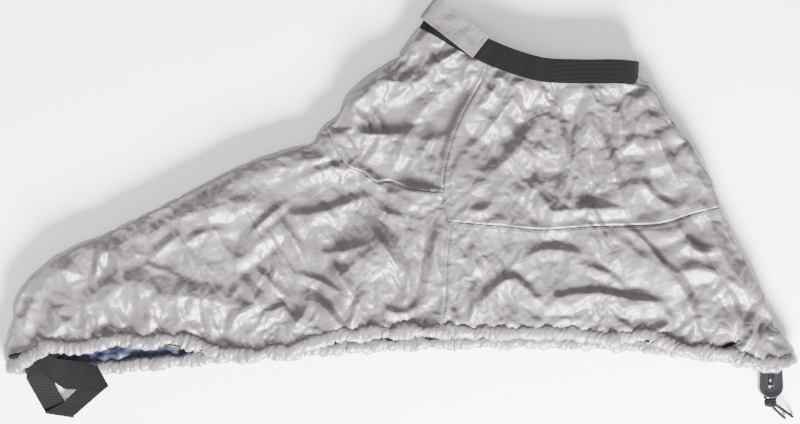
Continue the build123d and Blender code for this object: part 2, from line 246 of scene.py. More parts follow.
def apply_modifier(obj: Object, kind: str, **settings: object) -> None:
    """Add a modifier with its settings and apply it."""
    select(obj)
    modifier = obj.modifiers.new(kind.lower(), kind)
    for key, value in settings.items():
        setattr(modifier, key, value)
    bpy.ops.object.modifier_apply(modifier=modifier.name)


def smooth(obj: Object, degrees: float | None = None) -> None:
    """Shade an object smoothly, with sharp edges above an angle if one is given."""
    select(obj)
    if degrees is None:
        bpy.ops.object.shade_smooth()
    else:
        bpy.ops.object.shade_smooth_by_angle(angle=math.radians(degrees))


def coordinates(obj: Object) -> Array:
    """Read the places of a mesh's corners."""
    flat = np.zeros(len(obj.data.vertices) * 3)
    obj.data.vertices.foreach_get("co", flat)
    return flat.reshape(-1, 3)


def set_coordinates(obj: Object, points: Array) -> None:
    """Write the places of a mesh's corners."""
    obj.data.vertices.foreach_set("co", points.astype(np.float32).ravel())
    obj.data.update()


def normals(obj: Object) -> Array:
    """Read the outward direction at each corner of a mesh."""
    flat = np.zeros(len(obj.data.vertices) * 3, np.float32)
    obj.data.vertices.foreach_get("normal", flat)
    return flat.reshape(-1, 3).astype(float)


def ring_faces(rings: int, around: int, closed: bool = False) -> list[tuple[int, int, int, int]]:
    """List the faces of a skin over rings of corners.

    Args:
        rings: How many rings there are.
        around: Corners in each ring.
        closed: Whether the last ring joins the first.
    Returns:
        Four corner numbers for each face.
    """
    faces = []
    for i in range(rings if closed else rings - 1):
        j = (i + 1) % rings
        for k in range(around):
            n = (k + 1) % around
            faces.append((i * around + k, i * around + n, j * around + n, j * around + k))
    return faces


def rails(line: Array, up: Array) -> tuple[Array, Array, Array]:
    """Give the directions along, beside and above a line at each point.

    Args:
        line: Points in space.
        up: One direction, or one for each point, that is roughly above the line.
    Returns:
        Unit vectors along, beside and above.
    """
    ahead = unit(np.gradient(line, axis=0))
    up = np.broadcast_to(up, line.shape)
    beside = unit(np.cross(up, ahead))
    return ahead, beside, np.cross(ahead, beside)


def swept(name: str, line: Array, up: Array, section: Array) -> Object:
    """Sweep a closed section along a line.

    Args:
        name: Name of the piece.
        line: Points in space.
        up: The direction above the line, one or one for each point.
        section: Offsets beside and above the line, as one ring, or as one ring for each point.
    Returns:
        A closed mesh with a pattern map of distance along and distance around, in metres.
    """
    _, beside, above = rails(line, up)
    rings = np.broadcast_to(section, (len(line), *section.shape[-2:]))
    points = line[:, None] + rings[..., :1] * beside[:, None] + rings[..., 1:] * above[:, None]
    around = rings.shape[1]
    faces = ring_faces(len(line), around)
    faces.append(tuple(range(around))[::-1])
    faces.append(tuple(range((len(line) - 1) * around, len(line) * around)))
    closed = np.concatenate([rings[:, :1], rings], axis=1)
    girth = np.linalg.norm(np.diff(closed, axis=1), axis=2).cumsum(axis=1) - np.linalg.norm(
        closed[:, 1] - closed[:, 0], axis=1)[:, None]
    along = np.repeat(run_lengths(line)[:, None], around, axis=1)
    uv = np.stack([along, girth], axis=-1).reshape(-1, 2)
    obj = mesh_object(name, points.reshape(-1, 3), faces, uv)
    select(obj)
    bpy.ops.object.mode_set(mode="EDIT")
    bpy.ops.mesh.select_all(action="SELECT")
    bpy.ops.mesh.normals_make_consistent(inside=False)
    bpy.ops.object.mode_set(mode="OBJECT")
    return obj


def slab(name: str, grid: Array, thick: float, closed: bool = False, lengthwise: bool = False) -> Object:
    """Give thickness to a strip of cloth, webbing or tape that lies on a grid of points.

    Args:
        name: Name of the piece.
        grid: Points by distance along the strip and place across it.
        thick: Thickness, half of it on each side of the grid.
        closed: Whether the strip's end joins its start.
        lengthwise: Whether the pattern map is turned, so that ribs run along the strip.
    Returns:
        A closed mesh with a pattern map in metres.
    """
    rows, columns = grid.shape[:2]
    if closed:
        along = np.roll(grid, -1, axis=0) - np.roll(grid, 1, axis=0)
    else:
        along = np.gradient(grid, axis=0)
    out = unit(np.cross(along, np.gradient(grid, axis=1)))
    points = np.concatenate([(grid + out * thick / 2).reshape(-1, 3), (grid - out * thick / 2).reshape(-1, 3)])
    count = rows * columns
    faces: list[tuple[int, ...]] = []
    for i in range(rows if closed else rows - 1):
        a, b = i * columns, ((i + 1) % rows) * columns
        for k in range(columns - 1):
            faces.append((a + k, b + k, b + k + 1, a + k + 1))
            faces.append((count + a + k + 1, count + b + k + 1, count + b + k, count + a + k))
        faces.append((a, count + a, count + b, b))
        last = columns - 1
        faces.append((b + last, count + b + last, count + a + last, a + last))
    if not closed:
        end = (rows - 1) * columns
        for k in range(columns - 1):
            faces.append((k, k + 1, count + k + 1, count + k))
            faces.append((end + k + 1, end + k, count + end + k, count + end + k + 1))
    distance = np.repeat(run_lengths(grid.mean(axis=1))[:, None], columns, axis=1)
    across = np.repeat(run_lengths(grid[rows // 2])[None], rows, axis=0)
    uv = np.stack([across, distance] if lengthwise else [distance, across], axis=-1).reshape(-1, 2)
    obj = mesh_object(name, points, faces, np.concatenate([uv, uv]))
    select(obj)
    bpy.ops.object.mode_set(mode="EDIT")
    bpy.ops.mesh.select_all(action="SELECT")
    bpy.ops.mesh.normals_make_consistent(inside=False)
    bpy.ops.object.mode_set(mode="OBJECT")
    smooth(obj, 40)
    return obj


def round_section(radius: float, around: int) -> Array:
    """Outline a round section."""
    turn = np.arange(around) * 2 * math.pi / around
    return np.stack([radius * np.cos(turn), radius * np.sin(turn)], axis=1)


# ============================================================ finishes
class Graph:
    """A material's node tree, with short ways to add and join nodes."""

    def __init__(self, name: str) -> None:
        """Start a material with a plain shader."""
        self.material = bpy.data.materials.new(name)
        self.material.use_nodes = True
        self.tree = self.material.node_tree
        self.shader = self.tree.nodes["Principled BSDF"]
        self.coordinates = self.tree.nodes.new("ShaderNodeTexCoord")

    def node(self, kind: str, inputs: dict | None = None, **settings: object) -> bpy.types.Node:
        """Add a node.

        Args:
            kind: Type of the node, without its common prefix.
            inputs: Values or output sockets for its inputs, by name or number.
            settings: Attributes of the node.
        Returns:
            The new node.
        """
        made = self.tree.nodes.new(f"ShaderNode{kind}")
        for key, value in settings.items():
            setattr(made, key, value)
        for key, value in (inputs or {}).items():
            if isinstance(value, bpy.types.NodeSocket):
                self.tree.links.new(value, made.inputs[key])
            else:
                made.inputs[key].default_value = value
        return made

    def shade(self, **sockets: object) -> None:
        """Set or join the shader's own sockets, with spaces written as underscores."""
        for key, value in sockets.items():
            socket = self.shader.inputs[key.replace("_", " ")]
            if isinstance(value, bpy.types.NodeSocket):
                self.tree.links.new(value, socket)
            else:
                socket.default_value = value

    def mix(self, share: bpy.types.NodeSocket, low: tuple, high: tuple) -> bpy.types.NodeSocket:
        """Mix two colours by a share."""
        ramp = self.node("ValToRGB", {"Fac": share})
        ramp.color_ramp.elements[0].color = (*low, 1)
        ramp.color_ramp.elements[1].color = (*high, 1)
        return ramp.outputs["Color"]

    def bump(self, height: bpy.types.NodeSocket, strength: float, distance: float,
             under: bpy.types.NodeSocket | None = None) -> bpy.types.NodeSocket:
        """Turn a height into a surface direction, over another one if given."""
        inputs = {"Height": height, "Strength": strength, "Distance": distance}
        if under is not None:
            inputs["Normal"] = under
        return self.node("Bump", inputs).outputs["Normal"]


class Weave(Enum):
    """How a textile's surface is made, for its relief."""

    PLAIN = "plain"
    RIBBED = "ribbed"
    BRAIDED = "braided"


@dataclass(frozen=True)
class CoatedCloth:
    """Thin nylon with a smooth coating that creases sharply."""

    name: str
    colour: tuple[float, float, float]
    shade: tuple[float, float, float]
    roughness: tuple[float, float] = (0.30, 0.46)
    metallic: float = 0.0
    specular: float = 0.5
    crease: float = 0.0011

    def build(self) -> Material:
        """Make the material: tone, gloss that varies, sharp small creases and a fine weave."""
        g = Graph(self.name)
        place = g.coordinates.outputs["Object"]
        drift = g.node("TexNoise", {"Vector": place, "Scale": 9.0, "Detail": 4.0, "Roughness": 0.6})
        g.shade(Base_Color=g.mix(drift.outputs["Fac"], self.shade, self.colour))
        gloss = g.node("MapRange", {"Value": drift.outputs["Fac"], "From Min": 0.3, "From Max": 0.7,
                                    "To Min": self.roughness[0], "To Max": self.roughness[1]})
        g.shade(Roughness=gloss.outputs["Result"], Metallic=self.metallic, Specular_IOR_Level=self.specular)
        warp = g.node("TexNoise", {"Vector": place, "Scale": 22.0, "Detail": 2.0})
        shift = g.node("VectorMath", {0: warp.outputs["Color"], "Scale": 0.03}, operation="SCALE")
        bent = g.node("VectorMath", {0: place, 1: shift.outputs[0]}, operation="ADD")
        large = g.node("TexVoronoi", {"Vector": bent.outputs[0], "Scale": 30.0},
                       feature="DISTANCE_TO_EDGE")
        small = g.node("TexVoronoi", {"Vector": bent.outputs[0], "Scale": 105.0},
                       feature="DISTANCE_TO_EDGE")
        flats = g.node("MapRange", {"Value": large.outputs["Distance"], "From Max": 0.5})
        fine = g.node("MapRange", {"Value": small.outputs["Distance"], "From Max": 0.3},
                      interpolation_type="SMOOTHSTEP")
        creased = g.bump(flats.outputs["Result"], 0.60, 2.4 * self.crease)
        creased = g.bump(fine.outputs["Result"], 0.30, self.crease * 0.4, creased)
        threads = g.node("TexNoise", {"Vector": place, "Scale": 1400.0, "Detail": 1.0})
        g.shade(Normal=g.bump(threads.outputs["Fac"], 0.12, 0.0002, creased))
        return g.material


@dataclass(frozen=True)
class Textile:
    """A woven, knitted or braided strap or cord with relief from its own pattern map."""

    name: str
    colour: tuple[float, float, float]
    shade: tuple[float, float, float]
    weave: Weave
    pitch: float
    relief: float = 0.0004
    roughness: float = 0.85
    specular: float = 0.12

    def build(self) -> Material:
        """Make the material: painted shade that darkens the colour in the weave's low grooves, a random fuzz of tone,
        and the relief of the weave.
        """
        g = Graph(self.name)
        place = g.coordinates.outputs["UV"]
        turn = 2 * math.pi / self.pitch
        parts = g.node("SeparateXYZ", {"Vector": place})
        along, across = parts.outputs["X"], parts.outputs["Y"]
        if self.weave is Weave.BRAIDED:
            first = self._wave(g, along, across, turn, turn)
            second = self._wave(g, along, across, turn, -turn)
            height = g.node("Math", {0: first, 1: second}, operation="MAXIMUM").outputs[0]
        elif self.weave is Weave.RIBBED:
            ribs = self._wave(g, along, across, turn, 0.0)
            threads = self._wave(g, along, across, 0.0, turn * 1.7)
            small = g.node("Math", {0: threads, 1: 0.35}, operation="MULTIPLY").outputs[0]
            height = g.node("Math", {0: ribs, 1: small}, operation="ADD").outputs[0]
        else:
            first = self._wave(g, along, across, turn, 0.0)
            second = self._wave(g, along, across, 0.0, turn)
            height = g.node("Math", {0: first, 1: second}, operation="MULTIPLY").outputs[0]
        fuzz = g.node("TexNoise", {"Vector": g.coordinates.outputs["Object"], "Scale": 900.0, "Detail": 2.0})
        # Painted shade: the colour goes to the darker shade where the weave's relief is low, in its grooves, and varies
        # with a random fuzz of tone.
        tone = g.node("Math", {0: height, 1: fuzz.outputs["Fac"]}, operation="MULTIPLY").outputs[0]
        g.shade(Base_Color=g.mix(tone, self.shade, self.colour), Roughness=self.roughness,
                Specular_IOR_Level=self.specular)
        raised = g.bump(height, 0.8, self.relief)
        g.shade(Normal=g.bump(fuzz.outputs["Fac"], 0.25, 0.0002, raised))
        return g.material

    @staticmethod
    def _wave(g: Graph, along: object, across: object, turn_along: float, turn_across: float) -> object:
        """Give a wave from 0 to 1 over the pattern map."""
        first = g.node("Math", {0: along, 1: turn_along}, operation="MULTIPLY").outputs[0]
        second = g.node("Math", {0: across, 1: turn_across, 2: first}, operation="MULTIPLY_ADD").outputs[0]
        wave = g.node("Math", {0: second}, operation="SINE").outputs[0]
        return g.node("Math", {0: wave, 1: 0.5, 2: 0.5}, operation="MULTIPLY_ADD").outputs[0]


@dataclass(frozen=True)
class Moulding:
    """Moulded plastic or plated metal with a fine grain."""

    name: str
    colour: tuple[float, float, float]
    shade: tuple[float, float, float]
    roughness: tuple[float, float]
    metallic: float = 0.0
    grain: float = 1800.0
    relief: float = 0.00006
    specular: float = 0.3

    def build(self) -> Material:
        """Make the material: tone, gloss and grain from noise."""
        g = Graph(self.name)
        place = g.coordinates.outputs["Object"]
        drift = g.node("TexNoise", {"Vector": place, "Scale": 60.0, "Detail": 4.0})
        grain = g.node("TexNoise", {"Vector": place, "Scale": self.grain, "Detail": 2.0})
        gloss = g.node("MapRange", {"Value": drift.outputs["Fac"], "To Min": self.roughness[0],
                                    "To Max": self.roughness[1]})
        g.shade(Base_Color=g.mix(drift.outputs["Fac"], self.shade, self.colour), Metallic=self.metallic,
                Roughness=gloss.outputs["Result"], Specular_IOR_Level=self.specular,
                Normal=g.bump(grain.outputs["Fac"], 0.4, self.relief))
        return g.material


class Finishes:
    """Every finish of the skirt, built once."""

    def __init__(self) -> None:
        """Build the materials."""
        self.cloth = CoatedCloth("silver_coated_cloth", (0.128, 0.115, 0.122), (0.098, 0.086, 0.093),
                                 roughness=(0.36, 0.50), metallic=0.25).build()
        self.lining = CoatedCloth("blue_grey_lining", (0.030, 0.036, 0.062), (0.018, 0.022, 0.040),
                                  roughness=(0.4, 0.6), specular=0.2).build()
        # The textiles' second colours are painted shade for the low grooves of their weave.
        self.elastic = Textile("waist_elastic_knit", (0.0060, 0.0060, 0.0068), (0.0016, 0.0016, 0.0019),
                               Weave.RIBBED, 0.0016, 0.0003).build()
        self.webbing = Textile("ribbed_webbing", (0.0065, 0.0064, 0.0068), (0.0014, 0.0014, 0.0015),
                               Weave.RIBBED, 0.0022, 0.0005).build()
        self.cord = Textile("braided_cord", (0.0065, 0.0065, 0.0072), (0.0012, 0.0012, 0.0014),
                            Weave.BRAIDED, 0.0016, 0.0004).build()
        self.thread = Textile("sewing_thread", (0.16, 0.155, 0.16), (0.10, 0.097, 0.10),
                              Weave.PLAIN, 0.0006, 0.0001).build()
        self.black_thread = Moulding("black_thread", (0.008, 0.008, 0.009), (0.003, 0.003, 0.003), (0.7, 0.9),
                                     specular=0.1).build()
        self.tape = CoatedCloth("seam_tape_film", (0.060, 0.068, 0.095), (0.040, 0.046, 0.066),
                                roughness=(0.25, 0.4), crease=0.0004).build()
        self.fastening = Moulding("hook_and_loop_pile", (0.006, 0.006, 0.007), (0.0015, 0.0015, 0.002),
                                  (0.85, 1.0), grain=1100.0, relief=0.0008, specular=0.05).build()
        self.plastic = Moulding("lock_plastic", (0.0075, 0.0080, 0.0105), (0.0036, 0.0040, 0.0056), (0.42, 0.55),
                                specular=0.16).build()
        self.steel = Moulding("spring_steel", (0.30, 0.30, 0.31), (0.20, 0.20, 0.21), (0.2, 0.35), 1.0).build()
        self.nickel = Moulding("plated_grommet", (0.25, 0.25, 0.26), (0.16, 0.16, 0.17), (0.25, 0.4), 1.0).build()


def dress(obj: Object, material: Material) -> None:
    """Give a whole object one material."""
    obj.data.materials.clear()
    obj.data.materials.append(material)


def report(obj: Object) -> Object:
    """Log a finished piece and hand it back."""
    faces = len(obj.data.polygons) if obj.type == "MESH" else 0
    LOG.info("%s: %d faces", obj.name, faces)
    return obj


# ============================================================ camera, light and floor
@dataclass
class Studio:
    """A pale floor, soft light from above and the camera straight over the skirt."""

    view_width: float = 1.0
    view_centre: tuple[float, float] = (0.0009, -0.0025)
    lens: float = 85.0
    sensor: float = 36.0
    middle_height: float = 0.025
    floor_size: float = 30.0
    world: float = 0.5

    def camera(self) -> None:
        """Look straight down with +Y up, far enough to see the whole width."""
        data = bpy.data.cameras.new("camera")
        data.lens = self.lens
        data.sensor_width = self.sensor
        distance = self.view_width * self.lens / self.sensor
        obj = bpy.data.objects.new("camera", data)
        obj.location = (*self.view_centre, distance + self.middle_height)
        bpy.context.scene.collection.objects.link(obj)
        bpy.context.scene.camera = obj

    def light(self) -> None:
        """Set the white surroundings and three soft lamps."""
        world = bpy.data.worlds.new("surroundings")
        bpy.context.scene.world = world
        world.use_nodes = True
        world.node_tree.nodes["Background"].inputs["Color"].default_value = (1, 1, 1, 1)
        world.node_tree.nodes["Background"].inputs["Strength"].default_value = self.world
        lamps = [
            ("window", (0.55, -1.95, 1.15), 0.9, 700.0),
            ("ceiling", (-0.2, 0.1, 3.0), 2.2, 60.0),
            ("fill", (-1.7, 0.4, 0.9), 0.8, 22.0),
        ]
        for name, place, size, power in lamps:
            data = bpy.data.lights.new(name, "AREA")
            data.size = size
            data.energy = power
            obj = bpy.data.objects.new(name, data)
            obj.location = place
            aim = Vector((0.0, 0.0, 0.0)) - Vector(place)
            obj.rotation_euler = aim.to_track_quat("-Z", "Y").to_euler()
            bpy.context.scene.collection.objects.link(obj)

    def floor(self) -> None:
        """Lay the pale floor."""
        deselect()
        bpy.ops.mesh.primitive_plane_add(size=self.floor_size, location=(0, 0, 0))
        obj = bpy.context.object
        obj.name = "floor"
        g = Graph("pale_floor")
        g.shade(Base_Color=(0.93, 0.93, 0.93, 1.0), Roughness=0.9)
        dress(obj, g.material)


# ============================================================ free cords
@dataclass
class CordEnds:
    """The two strands through the lock, the knot under it and the two free tails."""

    finishes: Finishes
    tail: float = 0.004
    cord: float = 0.005
    left: Array = field(default_factory=lambda: metres(
        [(467.5, -246.0, 20.0), (478.0, -256.5, 10.0), (487.5, -263.0, 2.4)]))
    right: Array = field(default_factory=lambda: metres(
        [(470.5, -243.5, 20.0), (485.5, -253.0, 10.5), (497.0, -261.5, 2.4)]))

    def route(self, control: Array) -> Array:
        """Read the points of a smooth curve that is led by a route's points."""
        curve = bpy.data.curves.new("route", "CURVE")
        curve.dimensions = "3D"
        spline = curve.splines.new("NURBS")
        spline.points.add(len(control) - 1)
        for point, place in zip(spline.points, control):
            point.co = (*place, 1.0)
        spline.order_u = 3
        spline.use_endpoint_u = True
        spline.resolution_u = 16
        holder = bpy.data.objects.new("route", curve)
        mesh = bpy.data.meshes.new_from_object(holder)
        points = np.array([v.co for v in mesh.vertices], float)
        bpy.data.meshes.remove(mesh)
        bpy.data.objects.remove(holder)
        bpy.data.curves.remove(curve)
        return points

    def tube(self, name: str, points: Array, radius: float, around: int = 14) -> Object:
        """Make a braided tube with slightly rounded, fused ends along a line."""
        line = resampled(points, radius * 0.35)
        up = np.array([0.05, 0.1, 1.0]) if abs(unit(line[-1] - line[0])[2]) < 0.9 else np.array([1.0, 0.1, 0.0])
        along = run_lengths(line)
        from_end = np.minimum(along, along[-1] - along)
        taper = np.sqrt(np.clip(1 - (1 - np.clip(from_end / (radius * 0.7), 0, 1)) ** 2, 0.12, 1))
        ring = round_section(radius, around)
        obj = swept(name, line, up, ring[None] * taper[:, None, None])
        dress(obj, self.finishes.cord)
        smooth(obj)
        return obj

    def build(self) -> None:
        """Make both tails and the knot, and put them on the body of the cord ends."""
        knot = self.knot()
        for side, control in (("left", self.left), ("right", self.right)):
            points = self.route(control)
            obj = self.tube(f"tail_{side}", points, self.tail / 2)
            node = f"cord_tail_{side}"
            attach(obj, "cord_ends")
            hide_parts(node)
            report(obj)
        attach(knot, "cord_ends")
        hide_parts("cord_knot")
        report(knot)
        for side in ("left", "right"):
            low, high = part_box(f"cord_strand_{side}")
            middle = (low + high) / 2
            ends = np.array([(middle.x, high.y, middle.z), (middle.x, low.y + 0.002, middle.z)])
            strand = self.tube(f"strand_{side}", resampled(ends, 0.002), self.cord / 2)
            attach(strand, "cord_ends")
            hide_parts(f"cord_strand_{side}")
            report(strand)

    def knot(self) -> Object:
        """Wind the double cord twice round itself, as an overhand knot lies."""
        low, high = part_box("cord_knot")
        centre = np.array((low + high) / 2)
        wide, deep, tall = (high.x - low.x) / 2, (high.y - low.y) / 2, (high.z - low.z) / 2
        radius = self.cord / 2 * 1.05
        turns = []
        for k in range(61):
            turn = 2 * math.pi * 2.25 * k / 60
            share = k / 60
            turns.append((
                centre[0] + (wide - radius) * math.cos(turn) * (1.0 - 0.12 * share),
                centre[1] + (deep - radius) * (1 - 2 * share) + 0.0012 * math.sin(turn),
                centre[2] + (tall - radius) * math.sin(turn) * 1.15,
            ))
        wraps = self.tube("cord_knot_wraps", np.array(turns), radius, 16)
        core_line = np.array([(centre[0], high.y, centre[2]), (centre[0] + 0.001, centre[1], centre[2]),
                              (centre[0] + 0.004, low.y + 0.0015, centre[2] - 0.001)])
        core = self.tube("cord_knot_core", flowing(core_line, 0.001), radius * 1.15, 16)
        select(wraps)
        core.select_set(True)
        bpy.ops.object.join()
        wraps.name = "cord_knot_wound"
        return wraps


# ============================================================ the skirt's lines in plan
@dataclass
class SkirtPlan:
    """The lines of the folded skirt seen from above, in millimetres."""

    deck_fold: list = field(default_factory=lambda: [
        (-488, -196), (-494.5, -187), (-495.5, -176), (-491.5, -160), (-485, -136), (-479, -108), (-467, -91),
        (-449, -73),
        (-418, -51), (-366, -28), (-332, -11), (-289, 10), (-187, 61), (-140, 77), (-112, 86), (-103, 97),
        (-94, 107), (-80, 119), (-67, 143), (-58, 153), (-31, 174), (-5, 193), (10, 212), (28, 233), (37, 245)])
    waist: list = field(default_factory=lambda: [
        (37, 245), (70, 222), (101, 200), (120, 192), (144, 181), (169, 174), (205, 171), (240, 170),
        (278, 171), (298, 168)])
    back_fold: list = field(default_factory=lambda: [
        (298, 168), (303, 162), (312, 159), (324, 145), (340, 114), (360, 87), (381, 56), (393, 30), (406, -2),
        (417, -29), (433, -62), (448, -89), (472, -142), (489, -166), (495, -176), (492, -184)])
    near_hem: list = field(default_factory=lambda: [
        (-488, -196), (-476, -193), (-460, -183), (-440, -170), (-410, -171), (-380, -168), (-349, -160), (-324, -164),
        (-279, -161), (-250, -168), (-229, -175), (-199, -180), (-168, -178), (-133, -174), (-107, -164),
        (-87, -158), (-40, -153), (38, -150), (120, -152), (216, -153), (240, -157), (266, -160), (285, -157),
        (303, -155), (320, -159), (333, -165), (360, -175), (398, -177), (416, -181), (436, -187), (454, -192),
        (474, -191),
        (492, -184)])
    far_hem: list = field(default_factory=lambda: [
        (-488, -196), (-462, -198), (-430, -196), (-398, -199), (-367, -198), (-333, -194), (-308, -192),
        (-260, -187), (-150, -178), (0, -168), (150, -165), (290, -169), (385, -180), (430, -187), (462, -189),
        (492, -184)])
    side_seam: list = field(default_factory=lambda: [
        (111, 195), (107, 172), (93, 144), (79, 119), (66, 88), (57, 56), (54, 22), (58, -6), (63, -22),
        (60, -60), (57, -112), (51, -152)])
    front_seam: list = field(default_factory=lambda: [
        (-94, 107), (-67, 56), (-45, 46), (-29, 34), (-14, 36), (7, 28), (27, 24), (54, 22)])
    rear_seam: list = field(default_factory=lambda: [
        (60, -15), (117, -20), (183, -25), (222, -22), (262, -20), (327, -17), (362, -7), (404, 4)])

    def line(self, name: str, step: float) -> Array:
        """Give one of the plan's lines as a smooth curve in metres."""
        return flowing(metres(getattr(self, name)), step)


class Gathers:
    """Puckers along a gathered edge: rounded bulges with sharp valleys between them."""

    def __init__(self, seed: int, period: float) -> None:
        """Set the puckers' usual width, in metres."""
        self.period = period
        self.drift = Ripple(seed, period * 9, 5)
        self.choice = Ripple(seed + 1, period * 5, 5)
        self.tilt = Ripple(seed + 2, period * 7, 4)
        self.depth = Ripple(seed + 3, period * 4, 5)

    def at(self, along: Array, out: Array) -> Array:
        """Give the pucker height at places along the edge and outwards from it.

        Args:
            along: Distance along the edge.
            out: Distance from the edge, which slants each pucker a little.
        Returns:
            Heights between about -0.6 and 0.5.
        """
        slanted = along + out * 0.5 * self.tilt.along(along)
        turn = math.pi * slanted / self.period + 1.6 * self.drift.along(along)
        first = np.abs(np.sin(turn)) ** 0.8
        second = np.abs(np.sin(turn * 0.62 + 0.7)) ** 0.8
        share = smooth_steps(self.choice.along(along), -0.5, 0.5)
        strength = 0.75 + 0.35 * self.depth.along(along)
        return (share * first + (1 - share) * second - 0.6) * np.clip(strength, 0.35, 1.3)


@dataclass
class Fold:
    """One crease: where it runs, how wide each side is and how high it stands, in millimetres."""

    run: list
    left: float
    right: float
    height: float
    narrowing: float = 0.88
    steepness: float = 1.15
    standing: float = 1.45

    def raise_at(self, places: Array) -> Array:
        """Give the crease's height at places in plan, in metres."""
        line = flowing(metres(self.run), 0.004)
        reach = 1.05 * max(self.left, self.right) * MM
        low, high = line.min(0) - reach, line.max(0) + reach
        near = np.all((places > low) & (places < high), axis=1)
        result = np.zeros(len(places))
        if not near.any():
            return result
        spots = places[near]
        distance, where = to_line(spots, line)
        along = run_lengths(line)
        piece = np.clip(np.searchsorted(along, where, side="right") - 1, 0, len(line) - 2)
        ahead = line[piece + 1] - line[piece]
        offset = spots - line[piece]
        on_left = ahead[:, 0] * offset[:, 1] - ahead[:, 1] * offset[:, 0] > 0
        width = np.where(on_left, self.left, self.right) * self.narrowing * MM
        flank = np.clip(1 - distance / width, 0, 1) ** self.steepness
        ends = np.minimum(where, along[-1] - where) / max(along[-1] * 0.4, 1e-6)
        result[near] = self.standing * self.height * MM * flank * smooth_steps(ends, -0.3, 1.0)
        return result


class Facets:
    """Flat facets that meet in sharp creases, as crushed stiff cloth has."""

    def __init__(self, seed: int, spacing: float, height: float, stretch: float = 1.5, lean: float = -0.35) -> None:
        """Draw the corners of the facets and join them.

        Args:
            seed: Picks the corners.
            spacing: Usual distance between corners, in metres.
            height: How far corners stand above or below the cloth, in metres.
            stretch: How much longer than wide the facets are.
            lean: Direction of their length in plan, in radians.
        """
        draw = np.random.default_rng(seed)
        reach = 0.62
        steps = np.arange(-reach, reach, spacing)
        grid = np.array([(x * stretch, y) for x in steps for y in steps])
        grid += draw.uniform(-0.48, 0.48, grid.shape) * spacing * np.array([stretch, 1.0])
        turn = np.array([[math.cos(lean), math.sin(lean)], [-math.sin(lean), math.cos(lean)]])
        grid = grid @ turn
        result = delaunay_2d_cdt([Vector(p) for p in grid], [], [], 0, 1e-9)
        heights = draw.uniform(-1, 1, len(grid)) * height
        corners = [Vector((p.x, p.y, heights[result[3][k][0]])) for k, p in enumerate(result[0])]
        self.tree = BVHTree.FromPolygons(corners, result[2])

    def at(self, places: Array) -> Array:
        """Give the facets' height at places in plan."""
        down = Vector((0, 0, -1))
        found = [self.tree.ray_cast(Vector((x, y, 1.0)), down)[0] for x, y in places[:, :2]]
        return np.array([spot.z if spot is not None else 0.0 for spot in found])


